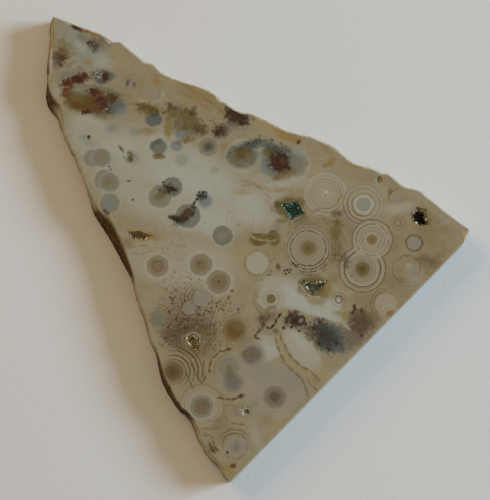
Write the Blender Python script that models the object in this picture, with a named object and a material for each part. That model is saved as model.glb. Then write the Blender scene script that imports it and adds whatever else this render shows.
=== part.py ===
"""Sawn and polished slab of ocean jasper, lying on its flat foot.

The stone is a thin, roughly triangular slice. One side is a straight saw cut. The other two are
the natural outside of the nodule: scalloped and chipped along the upper side, and leaning outwards
under a brown rind along the left. Five hollows open in the polished face, each lined with one
crust of small crystals.

Plan sizes are in millimetres, as (x, y) seen from above with the part's middle at (0, 0). The
foot stands at z = 0.
"""

import math
import random

import bmesh
import bpy
from mathutils import Matrix, Vector

MM = 0.001

# Each material's colour and roughness
MATERIALS = {
    "polished_jasper": ((0.25, 0.21, 0.13), 0.12),
    "teal_crystals": ((0.05, 0.09, 0.08), 0.15),
    "grey_crystals": ((0.16, 0.17, 0.12), 0.2),
    "cream_crystals": ((0.3, 0.25, 0.14), 0.2),
}

# Driving dimensions of the slab, in millimetres
THICKNESS = 5.0
SAW_BEVEL = 0.25
RIM_WIDTH = 0.45
RIM_DROP = 0.6
POINT_SPACING = 1.3
SAWN_SPACING = 3.9

# How far the foot stands out past the face along the upper side, at its right corner and at the tip
UPPER_LEAN = 0.15
CORNER_LEAN = 0.1
TIP_LEAN = 0.6

# The rind is pushed in and out at random by up to this much, wherever the side leans more than
# RIND_LEAN or has the natural side's wide rim
RIND_ROUGHNESS = 0.16
RIND_LEAN = 0.3
RIND_SEED = 7

# The side's section over its eased foot: height as a share of the thickness, distance outwards as
# a share of the lean, and the way that the roughness pushes it. Its shoulder comes last.
FOOT_EASE = 0.25
SECTION = ((0.32, 0.96, 1.0), (0.62, 0.66, -1.0))
SHOULDER_LEAN = 0.28
SHOULDER_PUSH = 0.4

# Polished face along the upper natural side, from the top tip to the right corner
UPPER_SIDE = [
    (-48.0, 54.6), (-44.9, 53.6), (-42.1, 52.4), (-36.7, 50.5), (-35.0, 49.3), (-33.8, 48.4),
    (-32.0, 48.4), (-30.3, 46.9), (-26.5, 43.7), (-25.6, 43.2), (-24.5, 43.1), (-23.4, 41.9),
    (-21.5, 40.5), (-17.8, 38.9), (-14.9, 38.1), (-10.4, 36.1), (-6.4, 32.9), (-3.7, 31.4),
    (-1.7, 31.1), (1.7, 29.7), (5.9, 27.4), (9.6, 26.2), (13.6, 25.1), (18.0, 23.0), (22.4, 19.3),
    (26.3, 18.2), (29.2, 16.7), (30.7, 16.8), (33.5, 14.2), (35.5, 13.2), (37.7, 12.8), (40.4, 10.6),
    (44.7, 7.1), (48.0, 4.5), (49.4, 3.4),
]

# Straight saw cut, from the right corner to the bottom tip
SAWN_SIDE = [(47.9, 0.3), (-4.4, -53.1)]

# Polished face along the left natural side, from the bottom tip to the top tip, with how far the
# foot of the stone stands out past it there
LEFT_SIDE = [
    (-6.0, -54.6, 0.0), (-7.2, -53.3, 0.4), (-8.2, -50.8, 0.7), (-10.3, -48.7, 0.8),
    (-12.7, -45.0, 0.8), (-14.0, -41.4, 0.8), (-16.0, -38.6, 0.8), (-17.0, -38.0, 0.8),
    (-19.2, -34.6, 1.0), (-20.8, -31.4, 1.0), (-21.6, -29.0, 0.9), (-22.9, -24.7, 0.6),
    (-24.3, -22.2, 0.4), (-25.2, -18.0, 0.5), (-26.6, -14.6, 0.5), (-27.7, -10.8, 0.6),
    (-28.5, -7.0, 0.9), (-30.4, -1.4, 1.9), (-32.3, 3.0, 2.3), (-34.0, 5.8, 2.4),
    (-36.4, 7.9, 1.5), (-39.0, 12.5, 0.5), (-40.4, 16.1, 0.4), (-41.8, 19.9, 0.4),
    (-43.4, 23.2, 0.5), (-44.9, 26.8, 0.7), (-45.4, 30.2, 1.2), (-46.0, 32.8, 2.2),
    (-47.8, 35.3, 1.9), (-48.8, 38.4, 0.7), (-48.6, 43.4, 0.8), (-47.7, 49.0, 1.3),
    (-47.9, 53.2, 1.1),
]

# Conchoidal chips along the upper rim: (x, y, radius of the bite, how deep it reaches inwards)
RIM_CHIPS = [
    (-33.0, 48.4, 3.0, 0.9), (-24.9, 43.2, 2.6, 0.8), (-7.2, 33.4, 3.4, 0.7), (24.4, 18.6, 3.0, 0.6),
    (31.8, 15.6, 2.8, 0.8), (38.6, 12.0, 2.6, 0.6), (48.9, 1.9, 3.0, 0.9),
]
# A bite's ball has its middle this share of its radius above the face. The chips face away from
# SLAB_MIDDLE, and reach in from the rim of the face, which lies CHIP_INSET inside the plan's points.
CHIP_RISE = 0.62
CHIP_INSET = 0.4
SLAB_MIDDLE = (-5.0, 0.0)

# Hollows that open in the polished face. Sides bow inwards between cusps, because each hollow is
# the space left between orbs that touch.
HOLLOWS = {
    "diamond": dict(
        crystals="teal_crystals",
        cusps=[(5.2, 9.7), (9.6, 10.1), (11.3, 7.1), (8.2, 5.1)], bow=0.05, depth=2.8, rows=3),
    "triangle": dict(
        crystals="grey_crystals",
        cusps=[(9.8, -8.5), (16.5, -8.5), (14.9, -10.9), (12.6, -12.2)], bow=0.03, depth=2.4,
        rows=3),
    "deep": dict(
        crystals="grey_crystals",
        cusps=[(35.5, 7.4), (37.2, 8.9), (39.5, 8.4), (39.6, 6.2), (40.6, 4.0), (38.0, 4.1),
               (35.9, 5.1)], bow=0.05, depth=3.8, rows=3),
    "slit": dict(
        crystals="cream_crystals",
        cusps=[(-30.0, 3.0), (-27.0, 3.1), (-24.2, 1.9), (-25.7, 0.8), (-29.5, 1.1)], bow=0.02,
        depth=2.0, rows=2),
    "lower": dict(
        crystals="cream_crystals",
        cusps=[(-16.9, -21.9), (-14.6, -20.8), (-13.1, -21.9), (-13.3, -23.5), (-12.2, -25.1),
               (-14.6, -24.9), (-15.9, -23.4)], bow=0.03, depth=1.8, rows=2),
}
HOLLOW_TAPER = 0.86
SIDE_STEPS = 4
CUTTER_REACH = 1.0

# A crust stands this far off its hollow's wall, and its rim lies this far below the face. The bowl
# in it has a flat middle that is BOWL_FLOOR of one row wide, and each facet rises to a point.
SEAT_GAP = 0.32
CRUST_SINK = 0.35
CRUST_WALL = 0.55
BOWL_FLOOR = 0.6
CRYSTAL_SLOPE = 0.8

# Shallow dimples in the polished face: (x, y, radius, depth)
DIMPLES = [
    (-29.8, 21.1, 0.9, 0.6), (-2.5, -39.1, 0.9, 0.5), (28.4, 15.2, 0.9, 0.6), (-39.3, 25.2, 0.6, 0.4),
]

# Long shallow recess in the middle of the face: two ends, radius, depth
RECESS = ((-0.2, 1.4), (4.0, 0.8), 1.1, 0.8)


def clear_scene():
    """Remove every object that the file opens with."""
    for old in list(bpy.data.objects):
        bpy.data.objects.remove(old, do_unlink=True)


def stone_material(name, colour, roughness):
    """Return a plain material of one colour."""
    material = bpy.data.materials.new(name)
    material.use_nodes = True
    shader = material.node_tree.nodes["Principled BSDF"]
    shader.inputs["Base Color"].default_value = (*colour, 1.0)
    shader.inputs["Roughness"].default_value = roughness
    return material


def smooth_between(before, start, end, after, share):
    """Return the point at a share of the way from start to end on a Catmull-Rom curve."""
    square, cube = share * share, share ** 3
    return 0.5 * (
        2.0 * start + (end - before) * share
        + (2.0 * before - 5.0 * start + 4.0 * end - after) * square
        + (3.0 * start - before - 3.0 * end + after) * cube)


def refine(points):
    """Return a natural side with points about POINT_SPACING apart on a smooth curve through it."""
    fine = []
    for index in range(len(points) - 1):
        before = points[max(index - 1, 0)]
        start, end = points[index], points[index + 1]
        after = points[min(index + 2, len(points) - 1)]
        steps = max(1, round((end.xy - start.xy).length / POINT_SPACING))
        fine += [smooth_between(before, start, end, after, step / steps) for step in range(steps)]
    return fine


def slab_plan():
    """Return the rim of the polished face as (point, lean, roughness, rim width) tuples."""
    rng = random.Random(RIND_SEED)
    upper = refine([Vector((x, y, 0.0)) for x, y in UPPER_SIDE])
    left = refine([Vector(point) for point in LEFT_SIDE] + [Vector((*UPPER_SIDE[0], TIP_LEAN))])
    corner, bottom = (Vector((*point, 0.0)) for point in SAWN_SIDE)
    steps = round((bottom - corner).length / SAWN_SPACING)
    sawn = [corner.lerp(bottom, step / steps) for step in range(steps + 1)]
    corner_facet = Vector((*UPPER_SIDE[-1], 0.0))
    plan = [(point.xy, UPPER_LEAN, rng.uniform(-1.0, 1.0), RIM_WIDTH) for point in upper]
    plan.append((corner_facet.xy, CORNER_LEAN, 0.0, RIM_WIDTH))
    plan += [(point.xy, 0.0, 0.0, SAW_BEVEL) for point in sawn]
    plan += [(point.xy, point.z, rng.uniform(-1.0, 1.0), SAW_BEVEL) for point in left]
    return plan


def outward_normals(plan):
    """Return the outward direction at each point of the plan, smoothed over its neighbours."""
    count = len(plan)
    normals = []
    for index in range(count):
        ahead, behind = plan[(index + 2) % count][0], plan[index - 2][0]
        along = (ahead - behind).normalized()
        normals.append(Vector((-along.y, along.x)))
    return normals


def slab_section(lean, rough, rim):
    """Return the side's section at one point as (height, distance outwards) pairs, foot first.

    The rind swells from the rim down to the foot, and the rim and the foot edge are eased.
    """
    wide = rim == RIM_WIDTH
    bump = rough * RIND_ROUGHNESS if wide or lean > RIND_LEAN else 0.0
    drop = RIM_DROP if wide else rim
    return [
        (0.0, lean - 0.5 * rim),
        (FOOT_EASE, lean),
        *((share * THICKNESS, out * lean + way * bump) for share, out, way in SECTION),
        (THICKNESS - drop, SHOULDER_LEAN * lean + SHOULDER_PUSH * bump),
        (THICKNESS, -rim if wide else -0.5 * rim),
    ]


def loft(bm, rings):
    """Skin rings of equal length in order and close both ends.

    The rings run clockwise seen from above, which turns the faces outwards. The faces come back
    as one list for each step between rings, and then the closing face of the last ring.
    """
    rows = [[bm.verts.new(point) for point in ring] for ring in rings]
    steps = []
    for lower, upper in zip(rows, rows[1:]):
        steps.append([])
        for index in range(len(lower)):
            after = (index + 1) % len(lower)
            corners = (lower[index], upper[index], upper[after], lower[after])
            steps[-1].append(bm.faces.new(corners))
    bm.faces.new(rows[0])
    steps.append([bm.faces.new(list(reversed(rows[-1])))])
    return steps


def build_slab(collection, material):
    """Loft the stone from the side's section at each point of the plan."""
    plan = slab_plan()
    columns = []
    for (point, lean, rough, rim), normal in zip(plan, outward_normals(plan)):
        section = slab_section(lean, rough, rim)
        columns.append([
            Vector((*(point + normal * out), height)) * MM for height, out in section])
    bm = bmesh.new()
    loft(bm, list(zip(*columns)))
    slab = mesh_object("jasper_slab", bm, collection, material)
    slab.data.set_sharp_from_angle(angle=math.radians(30.0))
    return slab


def mesh_object(name, bm, collection, material=None):
    """Turn a bmesh into a named object in a collection."""
    mesh = bpy.data.meshes.new(name)
    bm.to_mesh(mesh)
    bm.free()
    if material:
        mesh.materials.append(material)
    made = bpy.data.objects.new(name, mesh)
    collection.objects.link(made)
    return made


def hollow_outline(hollow):
    """Return a hollow's mouth, and its middle: cusps joined by sides that bow towards it."""
    corners = [Vector(cusp) for cusp in hollow["cusps"]]
    middle = sum(corners, Vector((0.0, 0.0))) / len(corners)
    outline = []
    for index, start in enumerate(corners):
        end = corners[(index + 1) % len(corners)]
        inward = (middle - (start + end) / 2.0) * 2.0 * hollow["bow"]
        for step in range(SIDE_STEPS):
            share = step / SIDE_STEPS
            outline.append(start.lerp(end, share) + inward * math.sin(math.pi * share))
    return outline, middle


def drawn_in(outline, distance):
    """Return a clockwise outline with every side moved in by a distance, mitred at the corners."""
    moved = []
    for index, point in enumerate(outline):
        before = (point - outline[index - 1]).normalized()
        after = (outline[(index + 1) % len(outline)] - point).normalized()
        mitre = Vector((before.y + after.y, -before.x - after.x)).normalized()
        half_turn = max(mitre.dot(Vector((after.y, -after.x))), 0.4)
        moved.append(point + mitre * distance / half_turn)
    return moved


def tapered_prism(outline, middle, low, high, taper):
    """Return a bmesh prism over an outline that narrows to taper times its size at the foot."""
    bm = bmesh.new()
    foot = bm.faces.new([bm.verts.new((*point, high)) for point in outline])
    grown = bmesh.ops.extrude_face_region(bm, geom=[foot])
    lowered = [item for item in grown["geom"] if isinstance(item, bmesh.types.BMVert)]
    bmesh.ops.translate(bm, verts=lowered, vec=(0.0, 0.0, low - high))
    bmesh.ops.scale(
        bm, verts=lowered, vec=(taper, taper, 1.0),
        space=Matrix.Translation((-middle.x, -middle.y, 0.0)))
    bmesh.ops.recalc_face_normals(bm, faces=bm.faces)
    return bm


def cut(target, cutter):
    """Cut a hidden cutter out of the target with an exact Boolean."""
    cutter.hide_render = True
    cutter.display_type = "WIRE"
    boolean = target.modifiers.new(cutter.name, "BOOLEAN")
    boolean.operation = "DIFFERENCE"
    boolean.solver = "EXACT"
    boolean.object = cutter


def cut_hollow(slab, cutters, name, hollow):
    """Open one crystal-lined hollow in the polished face."""
    outline, middle = hollow_outline(hollow)
    floor = THICKNESS - hollow["depth"]
    bm = tapered_prism(outline, middle, floor, THICKNESS + CUTTER_REACH, HOLLOW_TAPER)
    bmesh.ops.scale(bm, verts=bm.verts, vec=(MM, MM, MM))
    cut(slab, mesh_object(f"{name}_hollow_cutter", bm, cutters))


def cut_ball(slab, cutters, name, centre, radius, squash=1.0, across=None):
    """Bite a faceted ball out of the slab, stretched along a line if across gives its far end."""
    bm = bmesh.new()
    bmesh.ops.create_icosphere(bm, subdivisions=2, radius=radius)
    bmesh.ops.scale(bm, verts=bm.verts, vec=(1.0, 1.0, squash))
    start = Vector(centre)
    if across is not None:
        line = Vector((*across, centre[2])) - start
        stretch = 1.0 + line.length / (2.0 * radius)
        bmesh.ops.scale(bm, verts=bm.verts, vec=(stretch, 1.0, 1.0))
        turn = Matrix.Rotation(math.atan2(line.y, line.x), 3, "Z")
        bmesh.ops.rotate(bm, verts=bm.verts, matrix=turn)
        start = start + line / 2.0
    bmesh.ops.translate(bm, verts=bm.verts, vec=start)
    bmesh.ops.scale(bm, verts=bm.verts, vec=(MM, MM, MM))
    cut(slab, mesh_object(name, bm, cutters))


def cut_rim_chips(slab, cutters):
    """Break the conchoidal chips out of the upper rim."""
    for number, (x, y, radius, reach) in enumerate(RIM_CHIPS, 1):
        outward = (Vector((x, y)) - Vector(SLAB_MIDDLE)).normalized()
        rise = radius * CHIP_RISE
        half_bite = math.sqrt(radius ** 2 - rise ** 2)
        centre = Vector((x, y)) + outward * (half_bite - reach + CHIP_INSET)
        cut_ball(slab, cutters, f"rim_chip_{number}", (*centre, THICKNESS + rise), radius)


def cut_dimples(slab, cutters):
    """Sink the small pits and the long recess into the polished face."""
    for number, (x, y, radius, depth) in enumerate(DIMPLES, 1):
        ball = (radius ** 2 + depth ** 2) / (2.0 * depth)
        cut_ball(slab, cutters, f"pit_{number}", (x, y, THICKNESS + ball - depth), ball)
    start, end, radius, depth = RECESS
    cut_ball(
        slab, cutters, "recess", (*start, THICKNESS), radius, squash=depth / radius, across=end)


def crust_rings(hollow):
    """Return the cup's rings from its foot up the outside and down the inside of the bowl."""
    outline, middle = hollow_outline(hollow)
    outline = drawn_in(outline, SEAT_GAP)
    floor = THICKNESS - hollow["depth"] + SEAT_GAP
    mouth = THICKNESS - CRUST_SINK
    levels = [(HOLLOW_TAPER, floor), (1.0, mouth)]
    for row in range(1, hollow["rows"] + 1):
        share = row / (hollow["rows"] + BOWL_FLOOR)
        levels.append((1.0 - share, mouth - (mouth - floor - CRUST_WALL) * math.sqrt(share)))
    return [
        [Vector((*(middle + (point - middle) * size), height)) * MM for point in outline]
        for size, height in levels]


def build_crust(name, hollow, collection, material):
    """Build one hollow's crystals: a cup that fits it, each face of its bowl a small point."""
    bm = bmesh.new()
    bowl = loft(bm, crust_rings(hollow))[1:]
    bmesh.ops.poke(
        bm, faces=[face for ring in bowl for face in ring], offset=CRYSTAL_SLOPE,
        use_relative_offset=True)
    bmesh.ops.triangulate(bm, faces=bm.faces)
    return mesh_object(f"{name}_hollow_crystals", bm, collection, material)


def build():
    """Build the slab and its crusts."""
    clear_scene()
    jasper = bpy.data.collections.new("ocean_jasper")
    cutters = bpy.data.collections.new("cutters")
    for collection in (jasper, cutters):
        bpy.context.scene.collection.children.link(collection)
    materials = {name: stone_material(name, *look) for name, look in MATERIALS.items()}
    slab = build_slab(jasper, materials["polished_jasper"])
    cut_rim_chips(slab, cutters)
    cut_dimples(slab, cutters)
    for name, hollow in HOLLOWS.items():
        cut_hollow(slab, cutters, name, hollow)
        build_crust(name, hollow, jasper, materials[hollow["crystals"]])


build()
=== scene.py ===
"""Ocean jasper slab: the looks.

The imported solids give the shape. This script lays a finely worked surface over the slab, lines its
hollows with small quartz points and paints the stone's pattern in its material. Lengths are in
millimetres in the part's own frame (+Z up out of the polished face, +Y towards the pointed tip) and
become metres when a mesh is made. Colours are named tones, written as they look under the scene's
light, and turned into the stone's own reflectance by `reflectance`.
"""

import logging
import math
from dataclasses import dataclass, field
from enum import Enum
from typing import TypeAlias

import bmesh
import bpy
import numpy as np
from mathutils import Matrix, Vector
from mathutils.bvhtree import BVHTree
from mathutils.geometry import delaunay_2d_cdt


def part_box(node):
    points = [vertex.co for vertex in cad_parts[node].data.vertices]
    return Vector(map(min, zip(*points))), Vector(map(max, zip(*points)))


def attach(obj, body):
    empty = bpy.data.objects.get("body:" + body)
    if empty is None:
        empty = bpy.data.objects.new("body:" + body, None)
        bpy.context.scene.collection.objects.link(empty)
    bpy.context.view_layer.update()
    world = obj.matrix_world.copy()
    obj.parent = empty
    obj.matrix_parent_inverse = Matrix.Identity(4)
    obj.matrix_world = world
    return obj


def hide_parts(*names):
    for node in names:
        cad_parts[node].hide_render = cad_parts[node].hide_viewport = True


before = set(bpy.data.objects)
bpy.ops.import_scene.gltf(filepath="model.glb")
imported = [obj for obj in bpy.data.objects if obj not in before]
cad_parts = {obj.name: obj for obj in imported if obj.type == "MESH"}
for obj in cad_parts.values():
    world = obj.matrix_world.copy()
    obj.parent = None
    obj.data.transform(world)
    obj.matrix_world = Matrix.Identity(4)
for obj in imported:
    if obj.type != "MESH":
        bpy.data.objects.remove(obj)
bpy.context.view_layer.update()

log = logging.getLogger("jasper")

MM = 0.001
BODY = "root"
SLAB_NODE = "jasper_slab"
# Share of a colour added to a point so that the point waits for it, far too small to be seen
TRACE = 1e-6

# The polished face lies at this height, and the stone is this thick
THICKNESS = 5.0

Place: TypeAlias = tuple[float, float]
Tone: TypeAlias = tuple[int, int, int]

# The stone's colours, as red, green and blue of 255 seen in the scene's light
MILK = (156, 156, 145)
PEARL = (150, 145, 127)
HAZE = (130, 131, 117)
CREAM = (147, 138, 116)
PUTTY = (136, 126, 107)
BISQUE = (136, 125, 99)
TAN = (131, 116, 85)
SAND = (145, 128, 93)
HONEY = (135, 108, 64)
MIST_BLUE = (106, 114, 110)
STEEL = (80, 86, 82)
SLATE = (58, 62, 58)
SMOKE = (116, 111, 95)
DUSK = (96, 98, 88)
DRAB = (117, 107, 84)
ASH = (128, 126, 116)
DOVE = (130, 123, 110)
LILAC = (104, 93, 80)
PLUM = (74, 58, 50)
MOLE = (86, 72, 56)
FAWN = (113, 95, 66)
BROWN = (90, 69, 40)
UMBER = (68, 48, 24)
COFFEE = (48, 34, 20)
OLIVE = (102, 88, 52)
MOSS = (80, 68, 34)
SAGE = (106, 105, 84)
GOLD = (136, 114, 64)
AMBER = (96, 72, 24)
ORANGE = (124, 76, 24)
RUST = (90, 50, 14)
OXIDE = (60, 24, 6)
GARNET = (56, 32, 24)
PINK = (112, 74, 58)
BLACK = (16, 12, 9)
CHALK = (190, 186, 172)
TEAL = (50, 84, 82)
FERN = (96, 128, 120)
GLASS = (120, 124, 104)
STRAW = (158, 140, 94)

# Light that the level polished face sends back for each unit of reflectance, red, green and blue
TOP_LIGHT = (0.645, 0.642, 0.642)
# Light that its polish mirrors on top of that
TOP_SHINE = (0.0125, 0.0115, 0.0085)
# The least reflectance that a tone is given
DARKEST = 0.004


def linear(value: float) -> float:
    """Return the linear strength of one sRGB channel given from 0 to 255."""
    share = value / 255.0
    return share / 12.92 if share <= 0.04045 else ((share + 0.055) / 1.055) ** 2.4


def reflectance(tone: Tone, gain: float = 1.0) -> tuple[float, float, float, float]:
    """Turn a tone as seen into the stone's own colour.

    Args:
        tone: the colour as it looks on the polished face.
        gain: makes it lighter above 1 and darker below.

    Returns:
        Linear red, green, blue and an alpha of 1.
    """
    red, green, blue = (
        gain * max((linear(value) - shine) / light, DARKEST)
        for value, light, shine in zip(tone, TOP_LIGHT, TOP_SHINE))
    return (red, green, blue, 1.0)


# Numbers worked out as whole arrays

def lattice_noise(points: np.ndarray, seed: int) -> np.ndarray:
    """Smooth random heights in three dimensions.

    Every corner of a unit lattice gets a hashed value from -1 to 1. A point blends the eight
    corners round it with the weight 3t^2 - 2t^3 along each axis.

    Args:
        points: places, one to a row.
        seed: picks one pattern out of many.

    Returns:
        One height to a row, from -1 to 1.
    """
    cell = np.floor(points).astype(np.int64)
    part = points - cell
    ease = part * part * (3.0 - 2.0 * part)
    total = np.zeros(len(points))
    for corner in np.ndindex(2, 2, 2):
        step = np.array(corner)
        key = (cell + step) * np.array([73856093, 19349663, 83492791])
        mixed = (key[:, 0] ^ key[:, 1] ^ key[:, 2] ^ (seed * 2654435761)) & 0xFFFFFFFF
        mixed = ((mixed ^ (mixed >> 15)) * 2246822519) & 0xFFFFFFFF
        mixed = ((mixed ^ (mixed >> 13)) * 3266489917) & 0xFFFFFFFF
        value = (mixed ^ (mixed >> 16)) / 2147483647.5 - 1.0
        total += value * np.prod(np.where(step == 1, ease, 1.0 - ease), axis=1)
    return total


def rough_noise(points: np.ndarray, size: float, octaves: int, seed: int) -> np.ndarray:
    """Sum of lattice noise, each octave half as large in both size and height, from -1 to 1."""
    total = np.zeros(len(points))
    reach = 0.0
    for octave in range(octaves):
        share = 0.5 ** octave
        total += share * lattice_noise(points / (size * share) + 17.3 * octave, seed + octave)
        reach += share
    return total / reach


def smooth_step(low: float, high: float, value: np.ndarray) -> np.ndarray:
    """Rise from 0 at low to 1 at high along 3t^2 - 2t^3."""
    share = np.clip((value - low) / (high - low), 0.0, 1.0)
    return share * share * (3.0 - 2.0 * share)


# Node trees written as expressions

Value: TypeAlias = "Field | float"


class Field:
    """The output of a node. Python's operators on it add Math nodes."""

    def __init__(self, graph: "Graph", socket: bpy.types.NodeSocket) -> None:
        """Keep the socket and the graph it belongs to."""
        self.graph = graph
        self.socket = socket

    def out(self, name: str) -> "Field":
        """Return another output of the same node."""
        return Field(self.graph, self.socket.node.outputs[name])

    def to(self, socket: bpy.types.NodeSocket) -> None:
        """Link it to a socket."""
        self.graph.tree.links.new(self.socket, socket)

    def _math(self, operation: str, first: Value, second: Value = 0.0) -> "Field":
        """Add one Math node."""
        return self.graph.node("ShaderNodeMath", {"operation": operation}, {0: first, 1: second})

    def __add__(self, other: Value) -> "Field":
        """Sum."""
        return self._math("ADD", self, other)

    def __sub__(self, other: Value) -> "Field":
        """Difference."""
        return self._math("SUBTRACT", self, other)

    def __rsub__(self, other: Value) -> "Field":
        """Difference with the field on the right."""
        return self._math("SUBTRACT", other, self)

    def __mul__(self, other: Value) -> "Field":
        """Product."""
        return self._math("MULTIPLY", self, other)

    def __truediv__(self, other: Value) -> "Field":
        """Quotient."""
        return self._math("DIVIDE", self, other)

    def __abs__(self) -> "Field":
        """Size without its sign."""
        return self._math("ABSOLUTE", self)

    __radd__ = __add__
    __rmul__ = __mul__

    def least(self, other: Value) -> "Field":
        """The smaller of two."""
        return self._math("MINIMUM", self, other)

    def scaled(self, share: float, base: Value) -> "Field":
        """The field times a share, laid on a base."""
        return self.graph.node("ShaderNodeMath", {"operation": "MULTIPLY_ADD"},
                               {0: self, 1: share, 2: base})

    def fade(self, start: float, end: float, top: float = 1.0) -> "Field":
        """Ease from 0 where the field is `start` to `top` where it is `end`."""
        return self.graph.node(
            "ShaderNodeMapRange", {"interpolation_type": "SMOOTHSTEP"},
            {"Value": self, "From Min": start, "From Max": end, "To Min": 0.0, "To Max": top})


class Graph:
    """A node tree that is filled through one method, `node`."""

    def __init__(self, tree: bpy.types.NodeTree) -> None:
        """Keep the tree."""
        self.tree = tree

    def node(self, kind: str, settings: dict | None = None, inputs: dict | None = None,
             output: int | str = 0) -> Field:
        """Add a node.

        Args:
            kind: the node's type.
            settings: its properties, set first. The key `stops` fills a colour ramp.
            inputs: a value or a Field for each socket, by its name or its number.
            output: the output that is returned.

        Returns:
            That output as a Field.
        """
        node = self.tree.nodes.new(kind)
        for name, value in (settings or {}).items():
            if name == "stops":
                self._fill_ramp(node.color_ramp, value)
            else:
                setattr(node, name, value)
        for key, value in (inputs or {}).items():
            if isinstance(value, Field):
                value.to(node.inputs[key])
            else:
                node.inputs[key].default_value = value
        return Field(self, node.outputs[output])

    @staticmethod
    def _fill_ramp(ramp: bpy.types.ColorRamp, stops: list[tuple[float, tuple]]) -> None:
        """Give a ramp its stops, each a place from 0 to 1 and a colour with alpha."""
        ramp.interpolation = "EASE"
        while len(ramp.elements) < len(stops):
            ramp.elements.new(0.5)
        for element, (place, colour) in zip(ramp.elements, stops):
            element.position = place
            element.color = colour

    def vector(self, operation: str, first: object, second: object = (0.0, 0.0, 0.0),
               output: str = "Vector") -> Field:
        """Add a Vector Math node."""
        return self.node("ShaderNodeVectorMath", {"operation": operation}, {0: first, 1: second},
                         output)

    def scale(self, vector: Field, factor: float) -> Field:
        """Multiply a vector by a number."""
        return self.node("ShaderNodeVectorMath", {"operation": "SCALE"},
                         {0: vector, "Scale": factor}, "Vector")

    def noise(self, point: Field, scale: float, detail: float = 2.0, rough: float = 0.5,
              output: str = "Fac") -> Field:
        """Add a Noise Texture on a point in millimetres."""
        return self.node("ShaderNodeTexNoise", {}, {
            "Vector": point, "Scale": scale, "Detail": detail, "Roughness": rough}, output)

    def blend(self, cover: Value, below: object, above: object) -> Field:
        """Lay one colour over another where `cover` is 1."""
        return self.node("ShaderNodeMix", {"data_type": "RGBA"}, {0: cover, 6: below, 7: above}, 2)


def new_material(name: str) -> tuple[bpy.types.Material, Graph, bpy.types.ShaderNode]:
    """Make a material and return it with its nodes and its shader."""
    material = bpy.data.materials.new(name)
    material.use_nodes = True
    return material, Graph(material.node_tree), material.node_tree.nodes["Principled BSDF"]


def show(name: str, data: bpy.types.ID) -> bpy.types.Object:
    """Make an object at the origin from its data and add it to the scene."""
    item = bpy.data.objects.new(name, data)
    bpy.context.scene.collection.objects.link(item)
    return item


# Marks that are laid one over another

class Grain(Enum):
    """The shared textures that break up a mark."""

    EVEN = ""
    FRAY = "Fray"
    MOTTLE = "Mottle"
    GRIT = "Grit"
    FLECKS = "Flecks"
    CRUMBS = "Crumbs"
    WORMS = "Worms"
    DASHES = "Dashes"
    BROKEN = "Broken"


class Layer(Graph):
    """A node group that paints marks over the colour it is given."""

    POINTS = ("Near", "Far")

    def __init__(self, name: str) -> None:
        """Make the group with its sockets."""
        super().__init__(bpy.data.node_groups.new(name, "ShaderNodeTree"))
        kinds = {"Colour": "Color", **dict.fromkeys(self.POINTS, "Vector"),
                 **{grain.value: "Float" for grain in Grain if grain.value}}
        for given, kind in kinds.items():
            self.tree.interface.new_socket(given, in_out="INPUT", socket_type=f"NodeSocket{kind}")
        self.tree.interface.new_socket("Colour", in_out="OUTPUT", socket_type="NodeSocketColor")
        entry = self.tree.nodes.new("NodeGroupInput")
        self.given = {socket.name: Field(self, socket) for socket in entry.outputs if socket.name}
        self.colour = self.given["Colour"]

    def lay(self, cover: Field, tone: Tone, grain: Grain = Grain.EVEN, gain: float = 1.0) -> None:
        """Lay a tone over the colour so far, broken up by a grain."""
        if grain is not Grain.EVEN:
            cover = cover * self.given[grain.value]
        self.colour = self.blend(cover, self.colour, reflectance(tone, gain))

    def reach(self, point: str, at: Place, stretch: Place = (1.0, 1.0), turn: float = 0.0) -> Field:
        """Distance from a place, in units of `stretch` along the turned axes."""
        centre = (at[0], at[1], 0.0)
        if stretch == (1.0, 1.0):
            return self.vector("DISTANCE", self.given[point], centre, "Value")
        spot = self.node("ShaderNodeMapping", {"vector_type": "TEXTURE"}, {
            "Vector": self.given[point], "Location": centre,
            "Rotation": (0.0, 0.0, math.radians(turn)), "Scale": (*stretch, max(stretch))})
        return self.vector("LENGTH", spot, output="Value")

    def close(self) -> None:
        """Link the finished colour to the group's output."""
        self.colour.to(self.tree.nodes.new("NodeGroupOutput").inputs["Colour"])


# A middle and a radius that hold a mark, or a part of it
Disc = tuple[Place, float]


@dataclass(frozen=True)
class Wash:
    """A tone laid over the whole stone through a grain."""

    tone: Tone
    strength: float
    grain: Grain

    def discs(self) -> list[Disc]:
        """It is everywhere."""
        return [((0.0, 0.0), math.inf)]

    def paint(self, layer: Layer) -> None:
        """Lay the tone."""
        layer.lay(layer.given[self.grain.value] * self.strength, self.tone)


# Patches longer than this follow the slow drift of the stone, smaller marks only its fine waver
FAR_REACH = 3.0
# Each ellipse of a vein is this much longer than its step, so that neighbours join
VEIN_OVERLAP = 1.45


@dataclass(frozen=True)
class Cloud:
    """A soft patch: an ellipse, full inside and easing to nothing at its rim."""

    tone: Tone
    at: Place
    long: float
    wide: float = 0.0
    turn: float = 0.0
    strength: float = 1.0
    soft: float = 0.8
    ragged: float = 0.0
    grain: Grain = Grain.EVEN
    gain: float = 1.0

    def discs(self) -> list[Disc]:
        """Where the patch is."""
        return [(self.at, max(self.long, self.wide) * (1.0 + self.ragged))]

    def paint(self, layer: Layer) -> None:
        """Lay the patch: distance over half-length, roughened, then eased from the rim inwards."""
        point = "Far" if self.long > FAR_REACH else "Near"
        reach = layer.reach(point, self.at, (self.long, self.wide or self.long), self.turn)
        if self.ragged:
            reach = layer.given[Grain.FRAY.value].scaled(self.ragged, reach)
        layer.lay(reach.fade(1.0, 1.0 - self.soft, self.strength), self.tone, self.grain, self.gain)


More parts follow.
